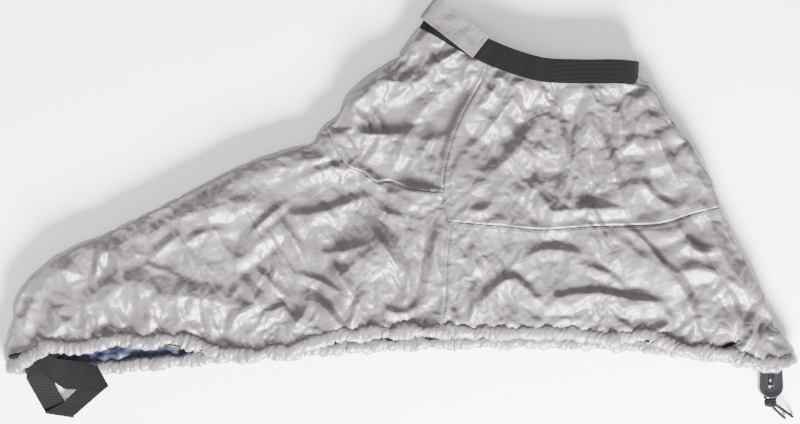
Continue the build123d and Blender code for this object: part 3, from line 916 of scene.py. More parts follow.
# ============================================================ the cloth of the skirt
@dataclass
class SkirtCloth:
    """The two cloth layers round the fold, crumpled and gathered, cut into the four panels."""

    plan: SkirtPlan
    finishes: Finishes
    step: float = 0.0050
    middle: float = 0.022
    loft: float = 0.0145
    turn: float = 0.030
    growth: float = 0.022
    edge_growth: float = 0.10
    gather_reach: float = 0.034
    frames: int = 24
    most_moved: float = 0.010
    tallest_fold: float = 0.0135
    far_share: float = 0.45
    felled: float = 0.0008
    layer_gap: float = 0.004
    floor_gap: float = 0.0012
    floor_ease: float = 0.004
    thickness: float = 0.0004
    bow_folds: list = field(default_factory=lambda: [
        Fold([(-449, -73), (-418, -75), (-387, -86)], 16, 30, 5),
        Fold([(-367, -33), (-370, -60), (-380, -91)], 9, 10, 4.5),
        Fold([(-355, -43), (-348, -63), (-342, -90)], 9, 12, 4.5),
        Fold([(-352, -60), (-318, -70), (-285, -80), (-262, -95)], 10, 18, 3),
        Fold([(-425, -123), (-372, -113), (-326, -88), (-318, -98), (-285, -105), (-241, -111), (-211, -118),
              (-172, -119)], 24, 34, 10),
        Fold([(-174, -119), (-203, -135), (-208, -152)], 9, 12, 5),
        Fold([(-196, -80), (-184, -103), (-170, -121)], 12, 12, 4.5),
        Fold([(-480, -104), (-477, -130), (-474, -154)], 10, 10, 3.5),
        Fold([(-449, -100), (-462, -130), (-467, -152)], 12, 12, 4),
        Fold([(-432, -118), (-427, -143), (-422, -162)], 10, 12, 4),
        Fold([(-318, -108), (-308, -130), (-311, -152)], 10, 12, 4),
        Fold([(-278, -118), (-268, -138), (-251, -155)], 10, 14, 4.5),
        Fold([(-355, -122), (-346, -140), (-338, -152)], 10, 12, 4),
        Fold([(-395, -118), (-388, -140), (-390, -160)], 8, 12, 3.5),
        Fold([(-236, -122), (-232, -142), (-220, -160)], 8, 12, 3.5),
    ])
    deck_folds: list = field(default_factory=lambda: [
        Fold([(-283, 4), (-258, -6), (-214, 4), (-166, 8)], 22, 26, 6.5),
        Fold([(-308, -63), (-285, -43), (-262, -28)], 12, 18, 4.5),
        Fold([(-271, -48), (-241, -30), (-212, -26)], 10, 14, 4),
        Fold([(-216, -50), (-198, -60), (-178, -46), (-158, -30), (-144, -9)], 26, 20, 7.5),
        Fold([(-139, 8), (-164, -13), (-184, -32)], 9, 9, 5),
        Fold([(-148, -9), (-104, -6), (-54, 11), (-28, 18)], 12, 34, 6.5),
        Fold([(-106, -55), (-70, -53), (-30, -40)], 14, 16, 4),
        Fold([(-30, -30), (-17, -50), (-1, -74)], 10, 12, 4.5),
        Fold([(-133, -79), (-97, -91), (-59, -116)], 9, 13, 5.5),
        Fold([(-88, -60), (-74, -83), (-59, -114)], 13, 9, 5.5),
        Fold([(-39, -97), (-53, -123), (-63, -154)], 10, 14, 6),
        Fold([(-102, -112), (-84, -133), (-64, -155)], 10, 14, 6),
        Fold([(-112, -97), (-115, -123), (-135, -152)], 10, 14, 5.5),
        Fold([(-147, -10), (-127, -46), (-119, -64)], 9, 11, 4.5),
        Fold([(-182, -69), (-164, -88), (-142, -108)], 10, 14, 5),
        Fold([(-155, -48), (-152, -73), (-158, -92)], 8, 10, 4),
        Fold([(-24, -122), (3, -130), (24, -120)], 9, 14, 4.5),
        Fold([(-16, -136), (-23, -158)], 8, 10, 4),
        Fold([(-124, 36), (-84, 50), (-60, 48)], 12, 14, 4),
        Fold([(-200, -92), (-206, -108)], 8, 8, 3),
        Fold([(-30, 4), (-10, -8), (20, -12)], 9, 12, 3),
        Fold([(36, -14), (26, -78), (14, -132)], 14, 14, -5),
        Fold([(48, -18), (46, -58), (54, -98)], 8, 12, 4),
        Fold([(0, -60), (12, -92), (6, -128)], 10, 12, 4),
    ])
    front_folds: list = field(default_factory=lambda: [
        Fold([(112, 178), (68, 154), (36, 130), (10, 100)], 18, 22, 6.5),
        Fold([(116, 174), (84, 122), (68, 86), (60, 50), (56, 20)], 48, 14, 10),
        Fold([(0, 190), (-34, 154), (-66, 116)], 20, 16, 5.5),
        Fold([(52, 198), (28, 162), (-18, 128)], 14, 22, 5.5),
        Fold([(20, 112), (8, 86), (-6, 48)], 12, 14, 4.5),
        Fold([(-2, 22), (28, 22), (58, 20)], 12, 36, 6),
        Fold([(-66, 60), (-32, 34), (2, 12)], 14, 16, 5),
        Fold([(-58, 100), (-30, 92), (0, 96)], 10, 12, 4),
        Fold([(-40, 130), (-22, 104), (-26, 76)], 10, 12, 4),
        Fold([(30, 222), (12, 200), (-8, 184)], 9, 12, 4),
        Fold([(78, 196), (52, 184), (36, 168)], 9, 12, 4),
        Fold([(44, 96), (30, 70), (34, 44)], 9, 12, 4),
    ])
    rear_folds: list = field(default_factory=lambda: [
        Fold([(132, 172), (112, 142), (90, 120)], 9, 10, 5),
        Fold([(152, 164), (132, 126), (78, 64)], 12, 12, 5),
        Fold([(180, 150), (164, 102), (140, 66), (110, 40)], 30, 14, 8),
        Fold([(208, 154), (196, 114), (204, 82), (209, 44)], 12, 14, 6),
        Fold([(242, 160), (236, 126), (226, 94), (208, 34), (190, -12)], 30, 14, 9),
        Fold([(248, 156), (248, 102), (260, 70), (281, -10)], 13, 24, 7.5),
        Fold([(298, 156), (300, 130), (292, 90), (270, 60)], 14, 18, 6),
        Fold([(314, 104), (328, 70), (346, 30)], 14, 12, 5),
        Fold([(338, 114), (352, 86), (384, 16)], 10, 10, 3.5),
        Fold([(228, 48), (218, 26), (207, -4)], 8, 8, 4.5),
        Fold([(270, 134), (276, 102), (270, 72)], 9, 12, 4.5),
        Fold([(166, 46), (174, 14), (192, -4)], 10, 12, 4),
        Fold([(120, 24), (112, 2), (84, -8)], 12, 12, 3.5),
        Fold([(300, 40), (318, 14), (344, 2)], 10, 12, 4),
        Fold([(180, 128), (190, 102), (184, 76)], 8, 10, 3.5),
    ])
    stern_folds: list = field(default_factory=lambda: [
        Fold([(254, -28), (300, -58), (340, -86), (369, -136)], 14, 42, 8),
        Fold([(280, -20), (308, -46), (333, -80)], 8, 12, 4.5),
        Fold([(320, -82), (380, -76), (437, -108)], 20, 20, 6),
        Fold([(346, -40), (372, -54), (398, -54)], 12, 12, 4.5),
        Fold([(397, -8), (392, -34), (404, -66), (437, -100)], 22, 18, 6),
        Fold([(352, -96), (360, -124), (372, -156)], 12, 12, 6),
        Fold([(400, -96), (416, -122), (418, -164)], 10, 12, 6),
        Fold([(445, -116), (436, -154), (424, -176)], 10, 12, 5),
        Fold([(469, -136), (464, -164)], 9, 9, 3.5),
        Fold([(480, -146), (494, -176)], 8, 8, 3),
        Fold([(90, -132), (116, -100), (140, -86), (156, -96), (184, -126)], 10, 26, 7),
        Fold([(180, -125), (196, -110), (236, -104), (284, -110), (342, -117)], 9, 30, 8),
        Fold([(312, -112), (336, -138), (314, -156)], 10, 12, 5),
        Fold([(94, -88), (92, -122), (84, -144)], 9, 11, 6),
        Fold([(64, -120), (74, -148)], 9, 10, 5),
        Fold([(150, -60), (186, -50), (230, -56)], 12, 16, 3.5),
        Fold([(96, -38), (90, -60), (104, -84)], 9, 10, 3.5),
        Fold([(210, -64), (252, -78), (284, -98)], 10, 14, 3.5),
    ])

    def build(self) -> Object:
        """Make the crumpled shell and cut it into panels.

        Returns:
            The whole shell as one mesh, which later pieces are laid on; it is removed at the end.
        """
        shell = self.shell()
        self.crumple_by_cloth(shell)
        shell = self.refine(shell)
        self.panels(shell)
        return shell

    def boundaries(self) -> None:
        """Sample the outline's stretches, with shared points along the folds."""
        self.deck = self.plan.line("deck_fold", self.step)
        self.back = self.plan.line("back_fold", self.step)
        self.waist = self.plan.line("waist", self.step)
        self.hems = {
            "near": self.plan.line("near_hem", self.step)[::-1],
            "far": self.plan.line("far_hem", self.step)[::-1],
        }
        self.seams = [self.plan.line(name, self.step) for name in ("side_seam", "front_seam", "rear_seam")]

    def layer(self, side: str) -> tuple[Array, list]:
        """Fill one layer's outline with even triangles that keep to the seams.

        Args:
            side: near or far.
        Returns:
            Places in plan, with the outline first, and the triangles.
        """
        outline = np.concatenate([self.deck, self.waist[1:-1], self.back, self.hems[side][1:-1]])
        edges = [(i, (i + 1) % len(outline)) for i in range(len(outline))]
        points = [outline]
        count = len(outline)
        trunk: Array | None = None
        trunk_ids: list[int] = []
        for seam in self.seams:
            held = outline if trunk is None else np.concatenate([outline, trunk])
            held_ids = list(range(len(outline))) + trunk_ids
            kept = seam[within(seam, outline)]
            clear = to_line(kept, np.concatenate([outline, outline[:1]]))[0] > 0.55 * self.step
            if trunk is not None:
                clear &= to_line(kept, trunk)[0] > 0.55 * self.step
            kept = kept[clear]
            first = held_ids[int(np.argmin(np.linalg.norm(held - kept[0], axis=1)))]
            last = held_ids[int(np.argmin(np.linalg.norm(held - kept[-1], axis=1)))]
            ids = list(range(count, count + len(kept)))
            chain = [first, *ids, last]
            edges += list(zip(chain, chain[1:]))
            points.append(kept)
            count += len(kept)
            if trunk is None:
                trunk, trunk_ids = kept, ids
        fixed = np.concatenate(points)
        low, high = outline.min(0), outline.max(0)
        rows = np.arange(low[1], high[1], self.step * math.sqrt(3) / 2)
        lattice = np.array([(x + (k % 2) * self.step / 2, y) for k, y in enumerate(rows)
                            for x in np.arange(low[0], high[0], self.step)])
        lattice += np.random.default_rng(4).uniform(-0.16, 0.16, lattice.shape) * self.step
        lattice = lattice[within(lattice, outline)]
        for line in [np.concatenate([outline, outline[:1]]), *self.seams]:
            lattice = lattice[to_line(lattice, line)[0] > 0.6 * self.step]
        places = np.concatenate([fixed, lattice])
        result = delaunay_2d_cdt([Vector(p) for p in places], edges, [], 1, 1e-9)
        source = [origin[0] if origin else -1 for origin in result[3]]
        faces = [tuple(source[v] for v in face) for face in result[2]]
        return places, [face for face in faces if min(face) >= 0 and len(set(face)) == 3]

    def shell(self) -> Object:
        """Join both layers along the folds and raise them to their loft."""
        self.boundaries()
        near, near_faces = self.layer("near")
        far, far_faces = self.layer("far")
        deck, waist, back = len(self.deck), len(self.waist) - 2, len(self.back)
        shared = {i: i for i in range(deck)} | {deck + waist + i: deck + waist + i for i in range(back)}
        number = [shared.get(i, len(near) + i) for i in range(len(far))]
        plan = np.concatenate([near, far])
        side = np.concatenate([np.ones(len(near)), -np.ones(len(far))])
        corners = np.array(near_faces + [tuple(number[v] for v in face) for face in far_faces])
        used, corners = np.unique(corners, return_inverse=True)
        corners = corners.reshape(-1, 3)
        plan, side = plan[used], side[used]
        a, b, c = (plan[corners[:, k]] for k in range(3))
        cross = (b[:, 0] - a[:, 0]) * (c[:, 1] - a[:, 1]) - (b[:, 1] - a[:, 1]) * (c[:, 0] - a[:, 0])
        flip = (cross > 0) != (np.arange(len(corners)) < len(near_faces))
        corners[flip] = corners[flip][:, ::-1]
        points = np.column_stack([plan, self.height(plan, side)])
        obj = mesh_object("skirt_shell", points, corners.tolist(), plan)
        self.flat, self.side, self.corners = plan, side, corners
        self.mark_held(obj, plan, side)
        LOG.info("shell: %d corners, %d faces", len(points), len(corners))
        return obj

    def edges_at(self, plan: Array, side: Array) -> tuple[Array, Array, Array]:
        """Measure how far places are from the hem, the waist and the folds."""
        hem = np.where(side > 0, to_line(plan, self.hems["near"])[0], to_line(plan, self.hems["far"])[0])
        fold = np.minimum(to_line(plan, self.deck)[0], to_line(plan, self.back)[0])
        return hem, to_line(plan, self.waist)[0], fold

    def height(self, plan: Array, side: Array) -> Array:
        """Give the height of each layer with its gathers, before it is crumpled."""
        hem, waist, fold = self.edges_at(plan, side)
        t = np.clip(fold / self.turn, 0, 1)
        bulge = np.sqrt(np.clip(1 - (1 - t) ** 2, 0, 1))
        tall = self.loft + 0.0040 * np.exp(-(waist / 0.045) ** 2)
        height = self.middle + side * tall * bulge
        for name, sign in (("near", 1), ("far", -1)):
            here = side == sign
            along = to_line(plan[here], self.hems[name])[1]
            pucker = Gathers(11, 0.0085).at(along, hem[here])
            height[here] += sign * 0.0026 * pucker * np.exp(-hem[here] / 0.022) * bulge[here]
            wide = Gathers(17, 0.021).at(along, hem[here] * 1.4)
            height[here] += sign * 0.0040 * wide * np.exp(-((hem[here] - 0.022) / 0.024) ** 2) * bulge[here]
            along = to_line(plan[here], self.waist)[1]
            pucker = Gathers(21, 0.0125).at(along, waist[here])
            start = smooth_steps(waist[here], 0.010, 0.022)
            height[here] += sign * 0.0055 * pucker * np.exp(-waist[here] / 0.055) * start * bulge[here]
        return height

    def mark_held(self, obj: Object, plan: Array, side: Array) -> None:
        """Mark how firmly each corner is held and how much its cloth is gathered."""
        hem, waist, fold = self.edges_at(plan, side)
        edge = np.minimum(hem, waist)
        held = np.where(edge < 0.3 * self.step, 1.0, np.where(fold < 0.3 * self.step, 0.5, 0.03))
        held = np.where(waist < 0.012, 1.0, held)
        for name, weights in (("held", held), ("gathered", np.exp(-edge / self.gather_reach))):
            group = obj.vertex_groups.new(name=name)
            rounded = np.round(weights, 2)
            for weight in np.unique(rounded):
                group.add(np.flatnonzero(rounded == weight).tolist(), float(weight), "REPLACE")

    def crumple_by_cloth(self, obj: Object) -> None:
        """Let the cloth, cut larger than its place, buckle into creases between its held edges."""
        start = coordinates(obj)
        select(obj)
        modifier = obj.modifiers.new("buckle", "CLOTH")
        cloth = modifier.settings
        cloth.quality = 5
        cloth.mass = 0.12
        cloth.tension_stiffness = 25
        cloth.compression_stiffness = 25
        cloth.shear_stiffness = 12
        cloth.bending_stiffness = 0.6
        cloth.air_damping = 2.0
        cloth.vertex_group_mass = "held"
        cloth.pin_stiffness = 0.6
        cloth.vertex_group_shrink = "gathered"
        cloth.shrink_min = -self.growth
        cloth.shrink_max = -self.growth - self.edge_growth
        cloth.effector_weights.gravity = 0.0
        modifier.collision_settings.use_collision = False
        modifier.collision_settings.use_self_collision = False
        scene = bpy.context.scene
        modifier.point_cache.frame_start, modifier.point_cache.frame_end = 1, self.frames
        for number in range(1, self.frames + 1):
            scene.frame_set(number)
        bpy.ops.object.modifier_apply(modifier=modifier.name)
        scene.frame_set(1)
        moved = coordinates(obj) - start
        size = np.linalg.norm(moved, axis=1, keepdims=True)
        LOG.info("cloth moved %.1f mm on average, %.1f mm at most", size.mean() / MM, size.max() / MM)
        set_coordinates(obj, start + moved * np.minimum(1, self.most_moved / np.maximum(size, 1e-9)))

    def refine(self, rough: Object) -> Object:
        """Make the shell finer, add the creases and facets, and keep the layers apart and off the floor."""
        points, corners = coordinates(rough), self.corners
        bpy.data.objects.remove(rough)
        pairs = np.sort(np.concatenate([corners[:, [0, 1]], corners[:, [1, 2]], corners[:, [2, 0]]]), axis=1)
        ends, which = np.unique(pairs, axis=0, return_inverse=True)
        ab, bc, ca = (which.ravel().reshape(3, -1) + len(points))
        a, b, c = corners.T
        corners = np.concatenate([np.stack(ring, axis=1) for ring in
                                  ((a, ab, ca), (ab, b, bc), (ca, bc, c), (ab, bc, ca))])
        points = np.concatenate([points, points[ends].mean(axis=1)])
        plan = np.concatenate([self.flat, self.flat[ends].mean(axis=1)])
        side = np.concatenate([self.side, self.side[ends].min(axis=1)])
        obj = mesh_object("skirt_shell_fine", points, corners.tolist(), plan)
        hem, waist, fold = self.edges_at(plan, side)
        calm = smooth_steps(hem, 0.0, 0.016) * smooth_steps(waist, 0.010, 0.024)
        calm_fold = smooth_steps(fold, 0.0, 0.022)
        rise = np.zeros(len(points))
        for crease in self.bow_folds + self.deck_folds + self.front_folds + self.rear_folds + self.stern_folds:
            rise += crease.raise_at(plan)
        rise = self.tallest_fold * np.tanh(1.15 * rise / self.tallest_fold)
        large = np.where(side > 0, Facets(5, 0.038, 0.0068).at(plan), Facets(6, 0.038, 0.0058).at(plan))
        small = np.where(side > 0, Facets(8, 0.0145, 0.0020, 1.3, 0.5).at(plan),
                         Facets(9, 0.0145, 0.0020, 1.3, 0.5).at(plan))
        rise = np.where(side > 0, rise, self.far_share * rise)
        seam = np.min([to_line(plan, line)[0] for line in self.seams], axis=0)
        felled = self.felled * (1 - smooth_steps(seam, 0.0048, 0.0068))
        lift = (rise + (large + small) * (0.35 + 0.65 * smooth_steps(seam, 0.004, 0.016)) + felled - 0.0015) * calm
        points[:, 2] += side * lift * calm_fold
        apart = side * (points[:, 2] - self.middle)
        gap = self.layer_gap * smooth_steps(fold, 0.001, 0.012)
        close = (apart < gap) & (gap > 1e-5)
        apart[close] = gap[close] * np.exp((apart[close] - gap[close]) / gap[close])
        points[close, 2] = self.middle + side[close] * apart[close]
        out = normals(obj)
        points += out * (0.5 * small * calm * (1 - calm_fold))[:, None]
        eased = self.floor_gap + self.floor_ease
        low = points[:, 2] < eased
        points[low, 2] = self.floor_gap + self.floor_ease * np.exp((points[low, 2] - eased) / self.floor_ease)
        set_coordinates(obj, points)
        return obj

    def panel_of(self, plan: Array) -> Array:
        """Number the panel that each place belongs to: front tunnel, front deck, rear tunnel, rear deck."""
        side, front, rear = (self.plan.line(name, 0.003) for name in ("side_seam", "front_seam", "rear_seam"))
        x, y = plan[:, 0], plan[:, 1]
        ahead = x < np.interp(y, side[::-1, 1], side[::-1, 0])
        over_front = (y > np.interp(x, front[:, 0], front[:, 1])) & (x > front[0, 0])
        over_rear = y > np.interp(x, rear[:, 0], rear[:, 1])
        return np.where(ahead, np.where(over_front, 0, 1), np.where(over_rear, 2, 3))

    def panels(self, shell: Object) -> None:
        """Cut the shell along its seams and give each panel its thickness and finish."""
        mesh = shell.data
        count = len(mesh.polygons)
        points = coordinates(shell)
        corners = np.zeros(len(mesh.loops), np.int32)
        mesh.loops.foreach_get("vertex_index", corners)
        corners = corners.reshape(count, -1)
        uv = np.zeros(len(mesh.loops) * 2, np.float32)
        mesh.uv_layers["pattern"].data.foreach_get("uv", uv)
        uv = uv.reshape(count, -1, 2).astype(float)
        which = self.panel_of(uv.mean(axis=1))
        for number, name in enumerate(("front_tunnel", "front_deck", "rear_tunnel", "rear_deck")):
            faces = corners[which == number]
            used, local = np.unique(faces, return_inverse=True)
            places = np.zeros((len(used), 2))
            places[local.ravel()] = uv[which == number].reshape(-1, 2)
            obj = mesh_object(f"{name}_cloth", points[used], local.reshape(faces.shape).tolist(), places)
            obj.data.materials.append(self.finishes.cloth)
            obj.data.materials.append(self.finishes.lining)
            apply_modifier(obj, "SOLIDIFY", thickness=self.thickness, offset=-1.0, material_offset=1,
                           material_offset_rim=0, use_even_offset=False)
            smooth(obj)
            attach(obj, "skirt")
            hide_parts(f"{name}_panel")
            report(obj)


# ============================================================ laid on the cloth
class Ground:
    """The finished shell, asked how high its outer faces are."""

    def __init__(self, shell: Object) -> None:
        """Index the shell's faces."""
        mesh = shell.data
        self.tree = BVHTree.FromPolygons([v.co for v in mesh.vertices], [tuple(f.vertices) for f in mesh.polygons])

    def height(self, x: float, y: float, near: bool) -> float | None:
        """Give the height of the outer face of a layer at a place, or nothing outside the skirt."""
        spot = self.tree.ray_cast(Vector((x, y, 1.0 if near else -1.0)), Vector((0, 0, -1 if near else 1)))[0]
        return spot.z if spot is not None else None

    def follow(self, plan: Array, near: bool, over: float) -> Array:
        """Lift places in plan onto a layer.

        Args:
            plan: Places in plan.
            near: Whether the near layer is meant, or else the far one.
            over: Distance outside the cloth, or inside it when negative.
        Returns:
            The places with their heights.
        """
        heights = [self.height(float(x), float(y), near) for x, y in plan.reshape(-1, 2)]
        known = [h for h in heights if h is not None] or [0.03 if near else 0.005]
        filled = np.array([np.median(known) if h is None else h for h in heights])
        sign = 1 if near else -1
        return np.column_stack([plan.reshape(-1, 2), filled + sign * over]).reshape(*plan.shape[:-1], 3)


@dataclass
class Seams:
    """Sealing tape inside each seam and two rows of stitches outside it."""

    plan: SkirtPlan
    finishes: Finishes
    ground: Ground
    tape_width: float = 0.012
    tape_depth: float = 0.0016
    row: float = 0.0036
    stitch: float = 0.0026
    gap: float = 0.0012
    thread: float = 0.00065
    margin: float = 0.012

    def build(self) -> None:
        """Make the tapes and the stitches of every seam on both layers."""
        for name in ("side_seam", "front_seam", "rear_seam"):
            line = self.plan.line(name, 0.004)
            inside = self.inner_part(line)
            beside = self.beside(inside)
            for side in ("near", "far"):
                across = np.linspace(-0.5, 0.5, 5) * self.tape_width
                flat = inside[:, None] + across[None, :, None] * beside[:, None]
                grid = self.ground.follow(flat, side == "near", -self.tape_depth)
                tape = slab(f"{name}_tape_{side}_laid", grid, 0.0004)
                dress(tape, self.finishes.tape)
                stitches = self.stitches(f"{name}_stitches_{side}", inside, beside, side == "near")
                for obj in (tape, stitches):
                    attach(obj, "skirt")
                    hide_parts(f"{name}_tape_{side}")
                    report(obj)

    def inner_part(self, line: Array) -> Array:
        """Keep the part of a seam that lies clear of the folds, the hem and the waistband."""
        hem = np.minimum(to_line(line, self.plan.line("near_hem", 0.01))[0],
                         to_line(line, self.plan.line("far_hem", 0.01))[0])
        waist = to_line(line, self.plan.line("waist", 0.01))[0]
        fold = np.minimum(to_line(line, self.plan.line("deck_fold", 0.01))[0],
                          to_line(line, self.plan.line("back_fold", 0.01))[0])
        return line[(hem > self.margin) & (waist > 0.017) & (fold > self.margin)]

    @staticmethod
    def beside(line: Array) -> Array:
        """Give the direction across a line in plan at each point."""
        ahead = unit(np.gradient(line, axis=0))
        return np.stack([-ahead[:, 1], ahead[:, 0]], axis=1)

    def stitches(self, name: str, line: Array, beside: Array, near: bool) -> Object:
        """Make two rows of short stitches along a seam."""
        points: list = []
        faces: list = []
        step = self.stitch + self.gap
        for sign in (-1, 1):
            row = resampled(line + sign * self.row * beside, step / 2)
            lifted = self.ground.follow(row, near, 0.0002)
            for a, b in zip(lifted[::2], lifted[1::2]):
                way = unit(b - a)
                a, b = (a + b) / 2 - way * self.stitch / 2, (a + b) / 2 + way * self.stitch / 2
                side = unit(np.array([-way[1], way[0], 0.0])) * self.thread / 2
                top = np.array([0, 0, 1.0 if near else -1.0]) * self.thread * 0.7
                base = len(points)
                points += [a - side, a + side, b + side, b - side]
                middle = (a + b) / 2
                points += [middle + top - side * 0.7 - way * self.stitch * 0.28,
                           middle + top + side * 0.7 - way * self.stitch * 0.28,
                           middle + top + side * 0.7 + way * self.stitch * 0.28,
                           middle + top - side * 0.7 + way * self.stitch * 0.28]
                faces += [tuple(base + k for k in ring) for ring in
                          ((0, 3, 2, 1), (4, 5, 6, 7), (0, 1, 5, 4), (1, 2, 6, 5), (2, 3, 7, 6), (3, 0, 4, 7))]
        obj = mesh_object(name, np.array(points), faces)
        select(obj)
        bpy.ops.object.mode_set(mode="EDIT")
        bpy.ops.mesh.select_all(action="SELECT")
        bpy.ops.mesh.normals_make_consistent(inside=False)
        bpy.ops.object.mode_set(mode="OBJECT")
        dress(obj, self.finishes.thread)
        return obj


# ============================================================ hem
@dataclass
class HemCasing:
    """The gathered hem round the shock cord, in a near and a far run that meet at both ends."""

    plan: SkirtPlan
    finishes: Finishes
    near_height: float = 0.0355
    far_height: float = 0.0085
    radius_out: float = 0.0088
    radius_up: float = 0.0050
    pucker: float = 0.0042
    step: float = 0.0012
    around: int = 28

    def path(self, side: str) -> Array:
        """Give the middle of one run of the casing in space."""
        line = self.plan.line(f"{side}_hem", self.step)
        from_bow = run_lengths(line)
        end = np.minimum(from_bow, from_bow[-1] - from_bow)
        height = self.near_height if side == "near" else self.far_height
        middle = (self.near_height + self.far_height) / 2
        rise = np.sqrt(np.clip(1 - (1 - np.clip(end / 0.022, 0, 1)) ** 2, 0, 1))
        loose = smooth_steps(end, 0.01, 0.03)
        sway = Ripple(41 if side == "near" else 43, 0.034, 7, 0.5).along(from_bow) * 0.0011 * loose
        lift = Ripple(45 if side == "near" else 47, 0.028, 7, 0.5).along(from_bow) * 0.0008 * loose
        return np.column_stack([line[:, 0], line[:, 1] + sway, middle + (height - middle) * rise + lift])

    def build(self) -> None:
        """Make both runs."""
        for side in ("near", "far"):
            line = self.path(side)
            along = run_lengths(line)[:, None]
            turn = (np.arange(self.around) * 2 * math.pi / self.around)[None]
            top, under = Gathers(51, 0.0092), Gathers(57, 0.0104)
            upper = top.at(along + 0 * turn, 0.003 * np.cos(turn))
            lower = under.at(along + 0.4, 0.003 * np.cos(turn) + 0 * along)
            share = smooth_steps(np.sin(turn) + 0.35 * np.cos(turn), -0.5, 0.5)
            pleat = share * upper + (1 - share) * lower
            frill = 0.5 + 0.6 * np.clip(-np.cos(turn), 0, 1)
            wide = 1 + 0.16 * Ripple(61, 0.045, 6, 0.5).along(along[:, 0])[:, None]
            fine = 0.0005 * Ripple(31, 0.0065, 7, 0.5).along(along + 0.006 * turn)
            swell = self.pucker * pleat * frill + fine
            beside = np.cos(turn) * (self.radius_out * wide + swell)
            above = np.sin(turn) * (self.radius_up + 0.75 * swell)
            section = np.stack([beside, above], axis=-1)
            obj = swept(f"hem_casing_{side}_gathered", line, np.array([0.0, 0.0, 1.0]), section)
            dress(obj, self.finishes.cloth)
            smooth(obj)
            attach(obj, "skirt")
            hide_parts(f"hem_casing_{side}")
            report(obj)


# ============================================================ waist
@dataclass
class Waistband:
    """The wide elastic that closes round the waist."""

    finishes: Finishes
    width: float = 0.030
    thick: float = 0.0022
    middle: float = 0.022
    reach_up: float = 0.0200
    turn: float = 0.020
    rows: int = 150
    columns: int = 15
    run: list = field(default_factory=lambda: [
        (33, 240), (52, 229), (76, 214), (100, 201.5), (125, 190.5), (150, 181.5), (180, 174), (228, 172),
        (270, 172), (298, 170)])

    def build(self) -> None:
        """Make the closed band, lying over the gathered top of the cloth."""
        plan = flowing(metres(self.run), 0.0015)
        along = run_lengths(plan)
        share = (1 - np.cos(np.linspace(0, math.pi, self.rows))) / 2
        at = share * along[-1]
        line = np.stack([np.interp(at, along, plan[:, k]) for k in range(2)], axis=1)
        ahead = unit(np.gradient(line, axis=0))
        beside = np.stack([-ahead[:, 1], ahead[:, 0]], axis=1)
        end = np.minimum(at, along[-1] - at)
        rise = np.sqrt(np.clip(1 - (1 - np.clip(end / self.turn, 0, 1)) ** 2, 0, 1))
        wave = 0.0004 * Ripple(71, 0.03, 5).along(at)
        across = np.linspace(0.5, -0.5, self.columns) * self.width
        grids = []
        for sign in (1, -1):
            flat = line[:, None] + across[None, :, None] * beside[:, None]
            height = self.middle + sign * (self.reach_up * rise + wave * rise)
            grid = np.concatenate([flat, np.broadcast_to(height[:, None, None], (*flat.shape[:2], 1))], axis=2)
            grids.append(grid if sign > 0 else grid[::-1][1:-1])
        obj = slab("waist_elastic_band", np.concatenate(grids), self.thick, closed=True, lengthwise=True)
        dress(obj, self.finishes.elastic)
        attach(obj, "skirt")
        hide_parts("waist_elastic")
        report(obj)


